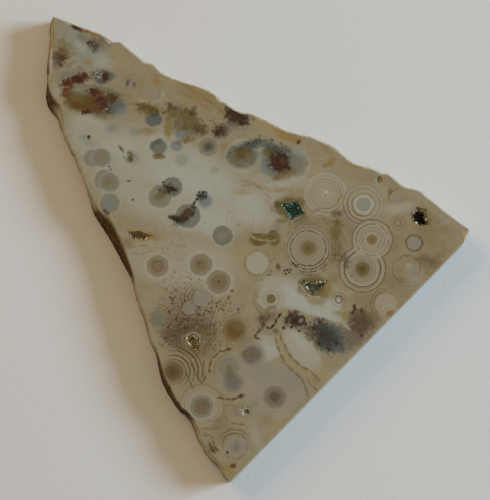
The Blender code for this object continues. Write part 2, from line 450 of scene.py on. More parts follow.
@dataclass(frozen=True)
class Orb:
    """A round body whose tones follow its radius. A stop is a radius, a tone and a cover."""

    at: Place
    stops: tuple[tuple[float, Tone, float], ...]

    def discs(self) -> list[Disc]:
        """Where the orb is."""
        return [(self.at, self.stops[-1][0])]

    def paint(self, layer: Layer) -> None:
        """Lay the orb: distance over its full radius drives a ramp of colour and cover."""
        full = self.stops[-1][0]
        stops = [(radius / full, (*reflectance(tone)[:3], cover))
                 for radius, tone, cover in self.stops]
        ramp = layer.node("ShaderNodeValToRGB", {"stops": stops},
                          {"Fac": layer.reach("Near", self.at) * (1.0 / full)})
        layer.colour = layer.blend(ramp.out("Alpha"), layer.colour, ramp)


@dataclass(frozen=True)
class Window:
    """A disc that shows only what is inside it, or only what is outside."""

    at: Place
    radius: float
    soft: float = 0.6
    inside: bool = True


@dataclass(frozen=True)
class Rings:
    """Thin concentric lines, whole or broken, all the way round or in a window."""

    tone: Tone
    at: Place
    radii: tuple[float, ...]
    strength: float = 0.7
    width: float = 0.24
    squash: float = 1.0
    turn: float = 0.0
    grain: Grain = Grain.EVEN
    windows: tuple[Window, ...] = ()

    def discs(self) -> list[Disc]:
        """Where the lines are."""
        return [(self.at, self.radii[-1] + self.width)]

    def paint(self, layer: Layer) -> None:
        """Lay the lines: distance drives a ramp that peaks at each radius."""
        full = self.radii[-1] + self.width
        stops = [(0.0, 0.0)]
        for radius in self.radii:
            stops += [(radius - self.width, 0.0), (radius, self.strength),
                      (radius + self.width, 0.0)]
        ramp = layer.node("ShaderNodeValToRGB", {"stops": [
            (place / full, (1.0, 1.0, 1.0, level)) for place, level in stops]},
            {"Fac": layer.reach("Near", self.at, (1.0, self.squash), self.turn) * (1.0 / full)})
        cover = ramp.out("Alpha")
        for window in self.windows:
            near, far = window.radius - window.soft, window.radius + window.soft
            ends = (far, near) if window.inside else (near, far)
            cover = cover * layer.reach("Near", window.at).fade(*ends)
        layer.lay(cover, self.tone, self.grain)


@dataclass(frozen=True)
class Vein:
    """A thin line along a path, made of overlapping slender ellipses."""

    tone: Tone
    path: tuple[Place, ...]
    width: float = 0.3
    strength: float = 0.8
    soft: float = 0.7
    grain: Grain = Grain.EVEN

    def discs(self) -> list[Disc]:
        """Where the line is."""
        step = max(math.dist(start, end) for start, end in zip(self.path, self.path[1:]))
        return [(place, step) for place in self.path]

    def paint(self, layer: Layer) -> None:
        """Lay the line: the least of the distances to its ellipses, eased from the rim inwards."""
        reach = None
        for (x0, y0), (x1, y1) in zip(self.path, self.path[1:]):
            half = 0.5 * math.hypot(x1 - x0, y1 - y0) * VEIN_OVERLAP
            turn = math.degrees(math.atan2(y1 - y0, x1 - x0))
            step = layer.reach("Near", ((x0 + x1) / 2.0, (y0 + y1) / 2.0),
                               (half, self.width), turn)
            reach = step if reach is None else reach.least(step)
        layer.lay(reach.fade(1.0, 1.0 - self.soft, self.strength), self.tone, self.grain)


@dataclass(frozen=True)
class Dots:
    """Small round spots of one tone."""

    tone: Tone
    places: tuple[Place, ...]
    radius: float = 0.35
    strength: float = 0.85

    def discs(self) -> list[Disc]:
        """Where the spots are."""
        return [(place, self.radius) for place in self.places]

    def paint(self, layer: Layer) -> None:
        """Lay the spots: the least of the distances to them, eased from the rim inwards."""
        reach = layer.reach("Near", self.places[0])
        for place in self.places[1:]:
            reach = reach.least(layer.reach("Near", place))
        layer.lay(reach.fade(self.radius, 0.3 * self.radius, self.strength), self.tone)


Mark = Wash | Cloud | Orb | Rings | Vein | Dots


def grey_orb(at: Place, radius: float, heart: Tone = FAWN, rim: Tone = SMOKE,
             cover: float = 0.85) -> Orb:
    """A grey orb whose browner heart fades out to its rim, in a faint milky halo."""
    return Orb(at, (
        (0.0, heart, cover), (0.3 * radius, heart, cover), (0.93 * radius, rim, 0.9 * cover),
        (1.03 * radius, rim, 0.7 * cover), (1.13 * radius, MILK, 0.22),
        (1.45 * radius, MILK, 0.0)))


def pale_orb(at: Place, radius: float, tone: Tone = MILK, cover: float = 0.7) -> Orb:
    """A milky orb, even inside, with a soft rim."""
    return Orb(at, (
        (0.0, tone, cover), (0.7 * radius, tone, cover), (0.9 * radius, tone, 0.8 * cover),
        (1.12 * radius, tone, 0.0)))


def ring_line(tone: Tone, at: Place, radii: tuple[float, ...], strength: float,
              windows: tuple[Window, ...] = (), grain: Grain = Grain.EVEN) -> Rings:
    """Sharp ring lines at the width of the large ringed orbs."""
    return Rings(tone, at, radii, strength, 0.29, windows=windows, grain=grain)


# The pattern, place by place

# The broad milky and tan clouds that everything else lies in
GROUND = (
    Wash(CREAM, 0.5, Grain.MOTTLE),
    Wash(FAWN, 0.2, Grain.GRIT),
    # The tip and the tan bands under the upper side
    Cloud(HAZE, (-40.6, 47.3), 10.6, 6.2, -48, 0.85, 0.7),
    Cloud(MILK, (-41.5, 47.3), 3.0, 1.4, -50, 0.5, 0.9, 0.3),
    Cloud(MILK, (-36.1, 43.9), 4.2, 2.1, -10, 0.55, 0.9, 0.3),
    Cloud(PEARL, (-43.4, 42.9), 2.1, 3.7, 10, 0.5, 0.9, 0.3),
    Cloud(MILK, (-46.5, 36.2), 1.8, 3.2, 10, 0.4, 0.9, 0.3),
    Cloud(TAN, (-28.3, 38.1), 8.3, 3.0, -35, 0.6),
    Cloud(TAN, (-10.9, 34.0), 14.3, 3.2, -24, 0.85, 0.7),
    Cloud(HONEY, (-13.5, 36.4), 8.3, 2.3, -31, 0.5, 0.9, 0.3),
    Cloud(SAND, (-20.8, 38.6), 3.2, 1.6, -30, 0.6),
    Cloud(SAND, (3.1, 27.0), 9.7, 1.8, -25, 0.85, 0.7),
    Cloud(TAN, (31.0, 12.3), 14.3, 3.5, -27, 0.7),
    # The milky upper half
    Cloud(PEARL, (-21.3, 15.8), 25.9, 13.4, -22, 0.95, 0.45, 0.1),
    Cloud(PEARL, (-37.0, 24.6), 10.6, 6.5, -35, 0.95, 0.5, 0.15),
    Cloud(PEARL, (1.2, 9.2), 8.3, 6.9, 0, 0.85, 0.5),
    Cloud(MILK, (-15.0, 15.6), 16.6, 7.6, -18, 0.9),
    Cloud(MILK, (-10.4, 5.2), 10.2, 5.5, 0, 0.8),
    Cloud(MILK, (-1.6, 8.7), 5.5, 5.1, 0, 0.8, 0.6),
    Cloud(MILK, (-31.9, 22.3), 7.4, 4.6, 0, 0.5),
    Cloud(SAND, (-3.2, 12.7), 3.9, 1.2, -8, 0.65),
    Cloud(SAND, (-24.3, 13.7), 2.1, 1.2, 0, 0.4, 0.9),
    Cloud(PEARL, (10.1, 14.2), 10.6, 2.1, -8, 0.85, 0.7),
    Cloud(PEARL, (0.3, 16.1), 6.0, 1.8, 10, 0.6),
    Cloud(PEARL, (15.2, 15.1), 3.2, 5.1, 20, 0.6),
    # The middle left
    Cloud(CREAM, (-17.7, -4.2), 18.5, 7.9, -10, 0.9, 0.5, 0.2),
    Cloud(PEARL, (-18.2, -6.6), 12.5, 5.5, -10, 0.55),
    Cloud(PEARL, (-10.3, -4.2), 7.9, 5.5, 0, 0.5),
    Cloud(SAND, (-3.9, -2.8), 4.2, 3.7, 0, 0.55, 0.9),
    Cloud(SAND, (-21.2, 1.9), 5.1, 2.1, -5, 0.45, 0.9, grain=Grain.MOTTLE),
    Cloud(TAN, (3.5, -1.4), 4.6, 3.7, 0, 0.75),
    Cloud(CREAM, (-22.7, -17.3), 6.0, 10.2, 12, 0.4, 0.9),
    # The tan right half
    Cloud(TAN, (35.8, -4.9), 14.8, 12.9, 45, 0.75, 0.6),
    Cloud(TAN, (17.0, 2.8), 7.9, 4.2, 0, 0.6),
    Cloud(FAWN, (18.8, -4.2), 5.1, 3.7, 0, 0.4, 0.9),
    Cloud(PEARL, (32.3, 8.7), 5.5, 2.1, 5, 0.75, 0.7),
    Cloud(CREAM, (28.2, 12.7), 6.0, 2.3, 0, 0.6),
    Cloud(SAND, (40.6, 0.9), 4.6, 3.7, 0, 0.3, 0.9, grain=Grain.MOTTLE),
    Cloud(FAWN, (42.5, 4.7), 6.0, 1.8, -30, 0.3, 0.9, grain=Grain.MOTTLE),
    Cloud(FAWN, (25.1, -13.1), 6.9, 2.8, 0, 0.45, 0.9),
    Cloud(FAWN, (31.3, -1.4), 3.2, 5.5, 30, 0.55, 0.9, 0.4),
    Cloud(FAWN, (18.8, 0.9), 3.2, 5.1, 0, 0.6, 0.9, 0.3),
    Cloud(FAWN, (40.1, 2.8), 4.6, 4.6, 0, 0.4, 0.9, 0.4),
    Cloud(CREAM, (43.9, 5.2), 3.7, 0.92, 28, 0.5, 0.9, 0.4),
    Cloud(CREAM, (16.9, -10.1), 3.7, 1.8, -30, 0.5, 0.9),
    Cloud(CREAM, (21.5, -11.2), 6.9, 1.6, -20, 0.5, 0.8, grain=Grain.MOTTLE),
    Cloud(OLIVE, (22.1, 7.1), 4.6, 1.6, 20, 0.3, 0.9, grain=Grain.MOTTLE),
    Cloud(FAWN, (39.0, 6.8), 5.5, 2.3, -30, 0.35, 0.9, grain=Grain.GRIT),
    Cloud(CREAM, (42.8, -1.9), 4.2, 1.4, 45, 0.4, 0.9, grain=Grain.MOTTLE),
    Cloud(DOVE, (36.5, -9.6), 3.7, 2.3, 20, 0.5),
    Cloud(DRAB, (22.1, 2.8), 2.8, 6.9, 25, 0.6, 0.9, 0.3),
    Cloud(DRAB, (31.2, -8.9), 5.5, 2.3, -20, 0.55, 0.9, 0.3),
    Cloud(FAWN, (41.9, -2.4), 4.6, 1.6, 44, 0.5, 0.9, 0.5),
    Cloud(PEARL, (28.0, -1.4), 1.6, 2.1, 0, 0.3, 0.9),
    Cloud(CREAM, (36.1, 11.3), 6.0, 1.6, -28, 0.4, 0.9, 0.4),
    Cloud(BROWN, (33.5, -4.2), 13.9, 12.0, 45, 0.3, 0.6, grain=Grain.DASHES),
    Cloud(PEARL, (38.5, -10.1), 6.9, 3.9, -40, 0.45, 0.9, 0.3),
    Cloud(PEARL, (32.6, -2.6), 5.1, 3.2, 40, 0.3, 0.9, 0.4),
    Cloud(OLIVE, (20.4, -4.2), 3.0, 6.0, 15, 0.45, 0.9, 0.5),
    Cloud(OLIVE, (10.0, 5.2), 4.4, 2.1, 25, 0.55, 0.9, 0.4),
    Cloud(PEARL, (1.6, -32.5), 9.7, 6.5, -35, 0.6, 0.9, 0.3),
    Cloud(LILAC, (43.8, 2.8), 3.2, 1.2, -40, 0.35, 0.9, 0.4),
    # The lower left field
    Cloud(FAWN, (-16.7, -19.2), 11.1, 7.9, -25, 0.75, 0.8, 0.3),
    Cloud(TAN, (-11.9, -32.8), 10.2, 16.2, 40, 0.5),
    Cloud(FAWN, (-8.0, -42.6), 3.2, 4.6, 0, 0.4, 0.9),
    # White lobes of the lower half
    Cloud(PEARL, (6.0, -10.8), 6.9, 4.6, -12, 0.9, 0.45, 0.1),
    Cloud(MILK, (9.0, -12.2), 5.1, 3.2, -35, 0.9, 0.4, 0.1),
    Cloud(MILK, (14.1, -15.9), 5.5, 1.6, -22, 0.85, 0.5),
    Cloud(MILK, (17.5, -14.3), 3.0, 2.1, 10, 0.8, 0.5),
    Cloud(PUTTY, (0.3, -31.6), 11.6, 8.3, -35, 0.85, 0.9, gain=1.06),
    Cloud(PEARL, (2.1, -24.7), 5.1, 3.9, 30, 0.9, 0.4),
    Cloud(MILK, (3.0, -25.2), 3.7, 3.2, 20, 0.6, 0.7),
    Cloud(PEARL, (10.6, -24.7), 3.2, 6.9, 36, 0.95, 0.35),
    Cloud(MILK, (9.9, -22.4), 2.1, 5.1, 40, 0.6),
    Cloud(SAND, (15.1, -30.2), 2.3, 4.6, 44, 0.7),
    Cloud(CREAM, (16.7, -31.2), 1.2, 4.2, -42, 0.6, 0.9),
    Cloud(CREAM, (7.1, -36.7), 7.9, 2.5, 46, 0.8, 0.7),
    Cloud(SAND, (4.8, -41.7), 8.3, 1.6, 46, 0.6),
    Cloud(PEARL, (-0.2, -44.4), 1.8, 5.5, 15, 0.5),
)

# Rust, plum and oxide stains towards the pointed tip
TIP_STAINS = (
    Cloud(CHALK, (-48.5, 46.8), 0.55, 7.4, 3, 0.7, 0.7),
    Cloud(GOLD, (-39.2, 50.5), 6.0, 1.2, -27, 0.85, 0.9, 0.4),
    Cloud(ORANGE, (-38.7, 50.4), 3.0, 0.6, -27, 0.6, 0.9, 0.7),
    Cloud(BROWN, (-41.6, 51.4), 3.2, 1.1, -28, 0.9, 0.8, 0.7),
    Cloud(COFFEE, (-42.5, 51.8), 1.8, 0.79, -32, 0.97, 0.7, 0.6),
    Cloud(GOLD, (-35.9, 48.5), 3.2, 0.79, -30, 0.6, 0.9, 0.3),
    Cloud(LILAC, (-37.1, 48.0), 3.9, 2.3, -15, 0.8, 0.8, 0.4),
    Cloud(LILAC, (-40.9, 49.3), 2.3, 1.4, -30, 0.65, 0.9, 0.4),
    Cloud(PLUM, (-38.2, 47.3), 2.1, 1.6, -40, 0.9, 0.8, 0.9),
    Cloud(GARNET, (-39.2, 48.3), 1.4, 0.69, 20, 0.9, 0.8, 0.8),
    Cloud(RUST, (-39.4, 47.3), 0.69, 0.46, 20, 0.7, 0.8, 0.8),
    Cloud(SLATE, (-38.2, 46.1), 1.2, 0.69, -60, 0.7, 0.9),
    Cloud(OLIVE, (-45.3, 45.9), 3.5, 3.9, -10, 0.75, 0.8, 0.7),
    Cloud(LILAC, (-47.1, 43.9), 1.8, 3.5, 5, 0.85, 0.8, 0.3),
    Cloud(PLUM, (-46.4, 44.4), 1.8, 2.3, -10, 0.85, 0.8, 0.7),
    Cloud(BROWN, (-45.7, 45.1), 1.6, 1.8, 0, 0.85, 0.7, 0.9),
    Cloud(UMBER, (-45.7, 44.6), 1.2, 1.4, 0, 0.85, 0.8, 1.0),
    Cloud(RUST, (-45.9, 42.7), 1.4, 0.92, -10, 0.75, 0.8, 0.8),
    Cloud(FAWN, (-43.8, 42.9), 1.8, 1.2, 20, 0.5, 0.8, 0.8),
    Cloud(HONEY, (-39.6, 43.4), 1.6, 1.2, 0, 0.65, 0.7, 0.4),
    Cloud(FAWN, (-41.5, 42.0), 0.92, 0.69, 0, 0.5, 0.8, 0.6),
    Cloud(STEEL, (-43.3, 40.5), 6.0, 2.1, 10, 0.45, 0.9, 0.3),
    Cloud(SAGE, (-38.1, 34.0), 8.1, 4.4, -14, 0.97, 0.25, 0.2),
    Cloud(AMBER, (-44.2, 38.3), 3.5, 1.8, 15, 0.85, 0.8, 0.5),
    Cloud(RUST, (-42.4, 39.1), 3.9, 1.5, 18, 0.97, 0.6, 0.5),
    Cloud(OXIDE, (-41.9, 39.6), 3.7, 1.2, 22, 0.97, 0.6, 0.8),
    Cloud(OXIDE, (-44.7, 38.1), 1.6, 1.2, 20, 0.95, 0.7, 0.8),
    Cloud(RUST, (-41.0, 40.3), 1.6, 0.69, 20, 0.6, 0.8, 0.8),
    Cloud(STEEL, (-35.8, 39.8), 3.2, 2.3, 0, 0.85, 0.35, 0.15),
    Cloud(SLATE, (-36.7, 40.3), 2.5, 1.8, 0, 0.95, 0.6, 0.4),
    Cloud(CHALK, (-37.0, 40.3), 1.7, 1.3, 0, 0.85, 0.6, grain=Grain.CRUMBS),
    Cloud(BLACK, (-37.0, 40.3), 2.1, 1.6, 0, 0.75, 0.6, grain=Grain.FLECKS),
    Cloud(RUST, (-35.6, 39.8), 1.4, 1.6, -10, 0.8, 0.8, 0.4),
    Cloud(GARNET, (-35.6, 39.8), 1.2, 1.4, -10, 0.97, 0.7, 0.5),
    Cloud(UMBER, (-34.9, 40.3), 0.55, 1.2, -10, 0.8, 0.7, 0.6),
    Cloud(STEEL, (-33.1, 32.6), 3.5, 2.3, -5, 0.85, 0.5, 0.15),
    Cloud(AMBER, (-40.4, 33.5), 5.8, 3.0, -12, 0.97, 0.6, 0.35),
    Cloud(UMBER, (-39.5, 33.5), 6.2, 2.8, -12, 0.8, 0.7, grain=Grain.MOTTLE),
    Cloud(RUST, (-40.4, 33.8), 5.5, 2.5, -12, 0.7, 0.7, grain=Grain.CRUMBS),
    Cloud(RUST, (-44.4, 36.2), 2.1, 2.5, -10, 0.85, 0.7, 0.5),
    Cloud(RUST, (-44.9, 37.1), 1.2, 1.6, 0, 0.7, 0.8, 0.8),
    Cloud(RUST, (-37.1, 31.6), 4.2, 1.3, -10, 0.75, 0.8, 0.5),
    Cloud(OLIVE, (-41.4, 34.7), 3.2, 1.4, -15, 0.7, 0.8, 0.8),
    Cloud(MOSS, (-39.9, 32.8), 2.3, 0.92, -10, 0.5, 0.8, 0.9),
    Cloud(DOVE, (-41.4, 36.9), 3.5, 0.55, 14, 0.75, 0.8, 0.3),
    Cloud(RUST, (-36.9, 35.0), 4.4, 2.1, -38, 0.8, 0.8, 0.7),
    Cloud(RUST, (-36.9, 35.0), 3.9, 1.6, -38, 0.7, 0.6, 0.8),
    Cloud(PINK, (-36.4, 34.0), 3.0, 0.92, -38, 0.3, 0.8, 0.9),
    Cloud(OXIDE, (-36.9, 35.0), 3.9, 1.8, -38, 0.97, 0.5, grain=Grain.WORMS),
    Cloud(OXIDE, (-38.3, 36.2), 1.8, 0.81, -40, 0.9, 0.7, 0.9),
    Cloud(OXIDE, (-36.0, 33.3), 2.8, 1.4, -48, 0.9, 0.7, 0.9),
    Cloud(UMBER, (-34.1, 34.7), 2.5, 1.8, 30, 0.97, 0.7, 0.6),
    Cloud(OXIDE, (-39.9, 31.4), 1.7, 0.69, 8, 0.97, 0.6, 0.7),
    Cloud(CHALK, (-35.0, 32.1), 0.46, 0.37, 0, 0.6, 0.9),
    Cloud(MIST_BLUE, (-31.5, 31.6), 2.1, 1.6, 15, 0.7, 0.7),
    Cloud(MILK, (-38.5, 29.0), 7.9, 0.92, -8, 0.4, 0.9),
    Cloud(MIST_BLUE, (-29.9, 38.3), 1.8, 2.1, 0, 0.45, 0.9),
    Cloud(SLATE, (-30.2, 38.6), 0.74, 1.2, -20, 0.85, 0.8, 1.0),
    Cloud(SLATE, (-28.7, 38.1), 0.46, 0.92, 15, 0.7, 0.8, 1.0),
    Cloud(FAWN, (-30.8, 35.0), 3.0, 2.5, -35, 0.6, 0.8, grain=Grain.MOTTLE),
    Cloud(RUST, (-31.5, 35.7), 2.1, 1.8, -35, 0.4, 0.8, grain=Grain.FLECKS),
    Cloud(MIST_BLUE, (-33.8, 27.5), 2.3, 1.8, 0, 0.6),
)

# The tan, olive and brown band under the upper natural side
UPPER_BAND = (
    Cloud(SAND, (-32.1, 44.9), 3.5, 1.6, -38, 0.5),
    Cloud(HONEY, (-23.8, 39.1), 2.3, 1.2, -58, 0.85, 0.8, 0.5),
    Cloud(GOLD, (-23.4, 38.3), 1.2, 0.69, -50, 0.5, 0.9, 0.5),
    Cloud(HONEY, (-11.8, 34.0), 6.0, 0.69, -30, 0.6, 0.9, 0.4),
    Vein(FAWN, ((-18.0, 38.3), (-13.3, 35.7), (-9.3, 32.6), (-7.4, 30.6)), 0.32, 0.55),
    Vein(ORANGE, ((-18.9, 36.7), (-14.4, 34.2), (-10.4, 31.4)), 0.32, 0.35),
    Vein(FAWN, ((-10.4, 28.0), (-9.5, 30.9), (-8.1, 32.6)), 0.37, 0.4),
    pale_orb((-25.0, 36.2), 2.1, PUTTY, 0.6),
    Rings(TAN, (-25.0, 36.2), (2.3,), 0.5, 0.35),
    Vein(PEARL, ((-27.8, 34.5), (-25.2, 33.5), (-22.6, 34.2), (-21.5, 36.7)), 0.51, 0.6),
    Cloud(MIST_BLUE, (-28.4, 26.6), 2.1, 1.6, 0, 0.5),
    Cloud(OLIVE, (-24.9, 32.1), 5.1, 2.3, -6, 0.95, 0.7, 0.6),
    Cloud(BROWN, (-26.6, 32.6), 3.0, 1.2, -14, 0.85, 0.8, 0.8),
    Cloud(MOSS, (-23.8, 31.8), 3.2, 1.1, 0, 0.85, 0.8, 0.8),
    Cloud(STEEL, (-24.0, 29.4), 2.4, 1.8, 0, 0.9, 0.35),
    Cloud(SLATE, (-24.0, 30.6), 1.8, 0.69, 0, 0.6),
    Cloud(HONEY, (-25.6, 26.8), 3.2, 1.4, 0, 0.5, 0.8, 0.5),
    Cloud(OLIVE, (-25.4, 26.8), 2.8, 1.5, 0, 0.75, 0.8, grain=Grain.CRUMBS),
    Cloud(STEEL, (-19.1, 31.4), 2.1, 2.1, 0, 0.6),
    Cloud(BROWN, (-20.0, 32.3), 1.5, 1.5, 0, 0.95, 0.7, 0.8),
    Cloud(UMBER, (-20.3, 32.8), 1.2, 1.2, 0, 0.7, 0.8, 1.0),
    Cloud(SAGE, (-16.3, 28.5), 4.6, 4.2, 0, 0.9, 0.5, 0.3),
    Cloud(OLIVE, (-20.7, 28.2), 1.2, 4.6, -3, 0.92, 0.7, 0.5),
    Cloud(GOLD, (-20.7, 27.5), 1.2, 3.7, -3, 0.7, 0.8, 0.7),
    Cloud(OLIVE, (-17.5, 30.9), 5.5, 3.0, -8, 0.95, 0.8, 0.7),
    Cloud(OLIVE, (-15.6, 29.0), 3.5, 4.2, -20, 0.85, 0.8, 0.7),
    Cloud(MOSS, (-15.3, 31.1), 1.8, 1.8, 0, 0.9, 0.7, 0.5),
    Rings(SAGE, (-15.3, 31.1), (1.0,), 0.5, 0.3),
    Dots(COFFEE, ((-15.3, 31.1), (-18.9, 32.3), (-12.1, 28.0)), 0.46, 0.85),
    Cloud(BROWN, (-13.2, 27.3), 2.8, 2.1, -20, 0.85, 0.8, 0.8),
    Cloud(UMBER, (-13.5, 27.0), 3.0, 2.3, 0, 0.85, 0.7, grain=Grain.CRUMBS),
    Cloud(MOSS, (-17.9, 27.5), 3.2, 2.8, 30, 0.8, 0.7, grain=Grain.MOTTLE),
    Cloud(MIST_BLUE, (-17.7, 26.1), 1.6, 1.3, 0, 0.95, 0.6),
    Cloud(HAZE, (-19.1, 27.0), 0.69, 1.6, -20, 0.5, 0.9, 0.4),
    Cloud(OLIVE, (-16.3, 24.6), 3.0, 1.0, 8, 0.85, 0.7, 0.8),
    Cloud(GOLD, (-14.1, 23.7), 2.1, 0.69, -10, 0.5, 0.8, 0.8),
    Cloud(MOLE, (-8.6, 26.8), 3.0, 2.3, 20, 0.85, 0.8, 0.6),
    Cloud(COFFEE, (-8.3, 26.8), 2.3, 1.6, 20, 0.75, 0.8, 0.9),
    Cloud(COFFEE, (-8.3, 26.8), 2.8, 2.1, 20, 0.97, 0.4, grain=Grain.CRUMBS),
    Cloud(BLACK, (-8.1, 26.6), 2.5, 1.8, 20, 0.9, 0.5, grain=Grain.FLECKS),
    Cloud(UMBER, (-7.9, 27.0), 1.8, 1.4, 20, 0.6, 0.8, 0.9),
    Cloud(BROWN, (-10.4, 29.4), 1.6, 2.1, -30, 0.85, 0.6, grain=Grain.FLECKS),
    Cloud(SMOKE, (-4.8, 29.2), 4.4, 3.7, -28, 0.8, 0.7, 0.3),
    Cloud(UMBER, (-4.8, 30.6), 3.9, 2.8, -32, 0.97, 0.6, 0.6),
    Cloud(COFFEE, (-4.6, 30.9), 3.7, 2.5, -32, 0.9, 0.6, 0.5, grain=Grain.MOTTLE),
    Cloud(COFFEE, (-4.8, 31.1), 3.5, 2.5, -32, 0.9, 0.4, grain=Grain.CRUMBS),
    Cloud(COFFEE, (-2.5, 29.7), 1.8, 2.1, -40, 0.7, 0.8, 0.8),
    Cloud(MOLE, (-6.0, 28.7), 1.6, 1.6, 0, 0.6, 0.8, grain=Grain.MOTTLE),
    Cloud(BROWN, (1.3, 25.4), 6.5, 1.4, -20, 0.6, 0.8, grain=Grain.FLECKS),
    Cloud(HONEY, (6.6, 25.8), 4.6, 1.6, -25, 0.85, 0.8, 0.3),
    Cloud(HONEY, (9.2, 24.9), 2.1, 1.6, 0, 0.85, 0.8, 0.4),
    Cloud(ORANGE, (9.7, 24.4), 0.92, 0.92, 0, 0.5, 0.9, 0.6),
    Dots(COFFEE, ((9.0, 26.2), (9.7, 26.0), (9.9, 24.2), (9.7, 23.9)), 0.53, 0.9),
    Dots(UMBER, ((1.3, 29.7), (2.2, 29.4), (3.6, 24.6), (5.7, 23.7), (7.8, 26.6)), 0.51, 0.85),
    Cloud(HONEY, (-7.8, 22.7), 1.6, 1.4, 10, 0.6, 0.8, 0.7),
    Cloud(HONEY, (-6.2, 23.2), 2.3, 1.2, 0, 0.5, 0.9, 0.7),
    Cloud(HONEY, (17.3, 19.4), 2.1, 1.2, 40, 0.85, 0.8, 0.5),
    Cloud(FAWN, (16.1, 18.4), 1.2, 0.92, 10, 0.6, 0.9, 0.5),
    Cloud(HONEY, (16.2, 22.5), 3.7, 1.4, -30, 0.5, 0.9),
    Cloud(HONEY, (22.2, 18.4), 3.2, 1.2, -28, 0.5, 0.9, 0.4),
)

# The two blue-grey halos with olive and garnet hearts, and the wavy lines round them
DARK_PAIR = (
    grey_orb((-11.3, 23.0), 2.2, DRAB, SMOKE, 0.85),
    Cloud(SLATE, (-11.3, 23.0), 1.8, 1.8, 0, 0.85, 0.9),
    Cloud(BROWN, (-11.3, 23.2), 1.8, 1.6, 0, 0.75, 0.6, grain=Grain.MOTTLE),
    pale_orb((-3.2, 20.8), 4.2, MILK, 0.5),
    Cloud(DUSK, (-3.2, 20.8), 3.9, 3.7, 0, 0.95, 0.4, 0.1),
    Cloud(STEEL, (-1.1, 23.4), 5.1, 1.6, 8, 0.9, 0.6, 0.3),
    Cloud(OLIVE, (-3.4, 20.8), 3.5, 3.0, 5, 0.75, 0.9, 0.8),
    Cloud(BROWN, (-3.6, 21.3), 2.8, 1.8, 0, 0.6, 0.9, 0.9),
    Cloud(MOSS, (-3.2, 22.0), 2.8, 1.6, 8, 0.75, 0.7, 0.7),
    Cloud(UMBER, (-3.2, 21.5), 3.0, 2.1, 8, 0.85, 0.6, grain=Grain.FLECKS),
    Cloud(SLATE, (-1.1, 23.9), 3.7, 1.2, 8, 0.7, 0.8, 0.6),
    Cloud(GOLD, (-2.5, 18.9), 1.2, 0.69, 0, 0.6, 0.8, 0.5),
    Cloud(COFFEE, (-1.8, 23.9), 2.8, 1.2, 0, 0.7, 0.7, grain=Grain.FLECKS),
    Cloud(MILK, (6.1, 19.4), 7.4, 5.5, -10, 0.5, 0.5),
    Cloud(DUSK, (5.9, 19.4), 6.7, 4.9, -10, 0.95, 0.4, 0.1),
    Cloud(SMOKE, (9.6, 18.9), 2.8, 3.2, -20, 0.7),
    Cloud(STEEL, (3.6, 22.7), 3.2, 1.8, -10, 0.8, 0.6, 0.2),
    Cloud(MIST_BLUE, (2.4, 18.0), 2.3, 2.3, 20, 0.8, 0.7),
    Cloud(HAZE, (9.6, 22.0), 2.3, 1.8, -30, 0.8),
    Cloud(SLATE, (4.5, 22.5), 3.5, 1.4, -12, 0.7, 0.8, 0.6),
    Cloud(MOSS, (3.1, 21.8), 2.1, 1.4, -20, 0.9, 0.7, 0.6),
    Cloud(MOSS, (6.6, 22.5), 1.8, 0.92, -20, 0.7, 0.7, 0.7),
    Cloud(OLIVE, (3.3, 19.2), 1.4, 2.1, 0, 0.6, 0.8, 0.6),
    Cloud(OLIVE, (6.4, 16.3), 3.9, 1.5, 12, 0.85, 0.7, 0.3),
    Cloud(GOLD, (7.3, 15.6), 3.2, 0.6, 18, 0.4, 0.9, 0.3),
    Cloud(MOSS, (4.7, 19.9), 3.5, 3.0, -20, 0.7, 0.8, 0.6),
    Cloud(GARNET, (5.4, 19.3), 3.0, 3.0, -30, 0.98, 0.5, 0.6),
    Cloud(OXIDE, (5.2, 19.6), 1.8, 1.8, -30, 0.97, 0.6, 0.6),
    Cloud(BROWN, (6.1, 19.6), 0.92, 1.2, 0, 0.5, 0.8, 0.9),
    Cloud(BLACK, (5.7, 19.2), 2.5, 2.5, 0, 0.8, 0.5, grain=Grain.WORMS),
    Cloud(OXIDE, (7.3, 18.0), 1.2, 0.92, 0, 0.9, 0.6, 0.8),
    Cloud(HAZE, (0.4, 19.2), 0.79, 2.8, 5, 0.7, 0.9),
    Cloud(MIST_BLUE, (0.4, 21.3), 0.69, 1.2, 5, 0.6),
    Rings(PEARL, (5.7, 19.6), (6.7,), 0.6, 0.7, 0.8, -8, windows=(Window((10.1, 16.1), 6.0, 2.1),)),
    Rings(SAND, (5.7, 19.6), (7.6, 8.8), 0.5, 0.5, 0.8, -8, windows=(Window((11.0, 16.1), 6.0,
        2.1),)),
    Vein(HONEY, ((12.9, 24.4), (12.2, 22.7), (12.2, 20.3), (11.3, 18.0), (9.8, 16.1)), 0.5, 0.4),
    Vein(SAND, ((14.3, 23.9), (15.0, 22.3), (14.5, 19.9), (13.6, 17.0), (12.2, 15.1)), 0.5, 0.45),
    Vein(HONEY, ((-3.9, 15.1), (-1.1, 14.6), (1.2, 13.2), (3.6, 12.5), (6.6, 12.7)), 0.6, 0.5),
    Vein(FAWN, ((-3.9, 13.7), (-0.6, 14.2), (1.7, 12.3), (3.6, 10.4)), 0.4, 0.4),
    Vein(HONEY, ((2.2, 10.6), (3.1, 9.2), (3.5, 7.3)), 0.5, 0.4),
    Vein(MILK, ((1.2, 14.4), (4.3, 13.7), (7.7, 13.7)), 0.5, 0.5),
)

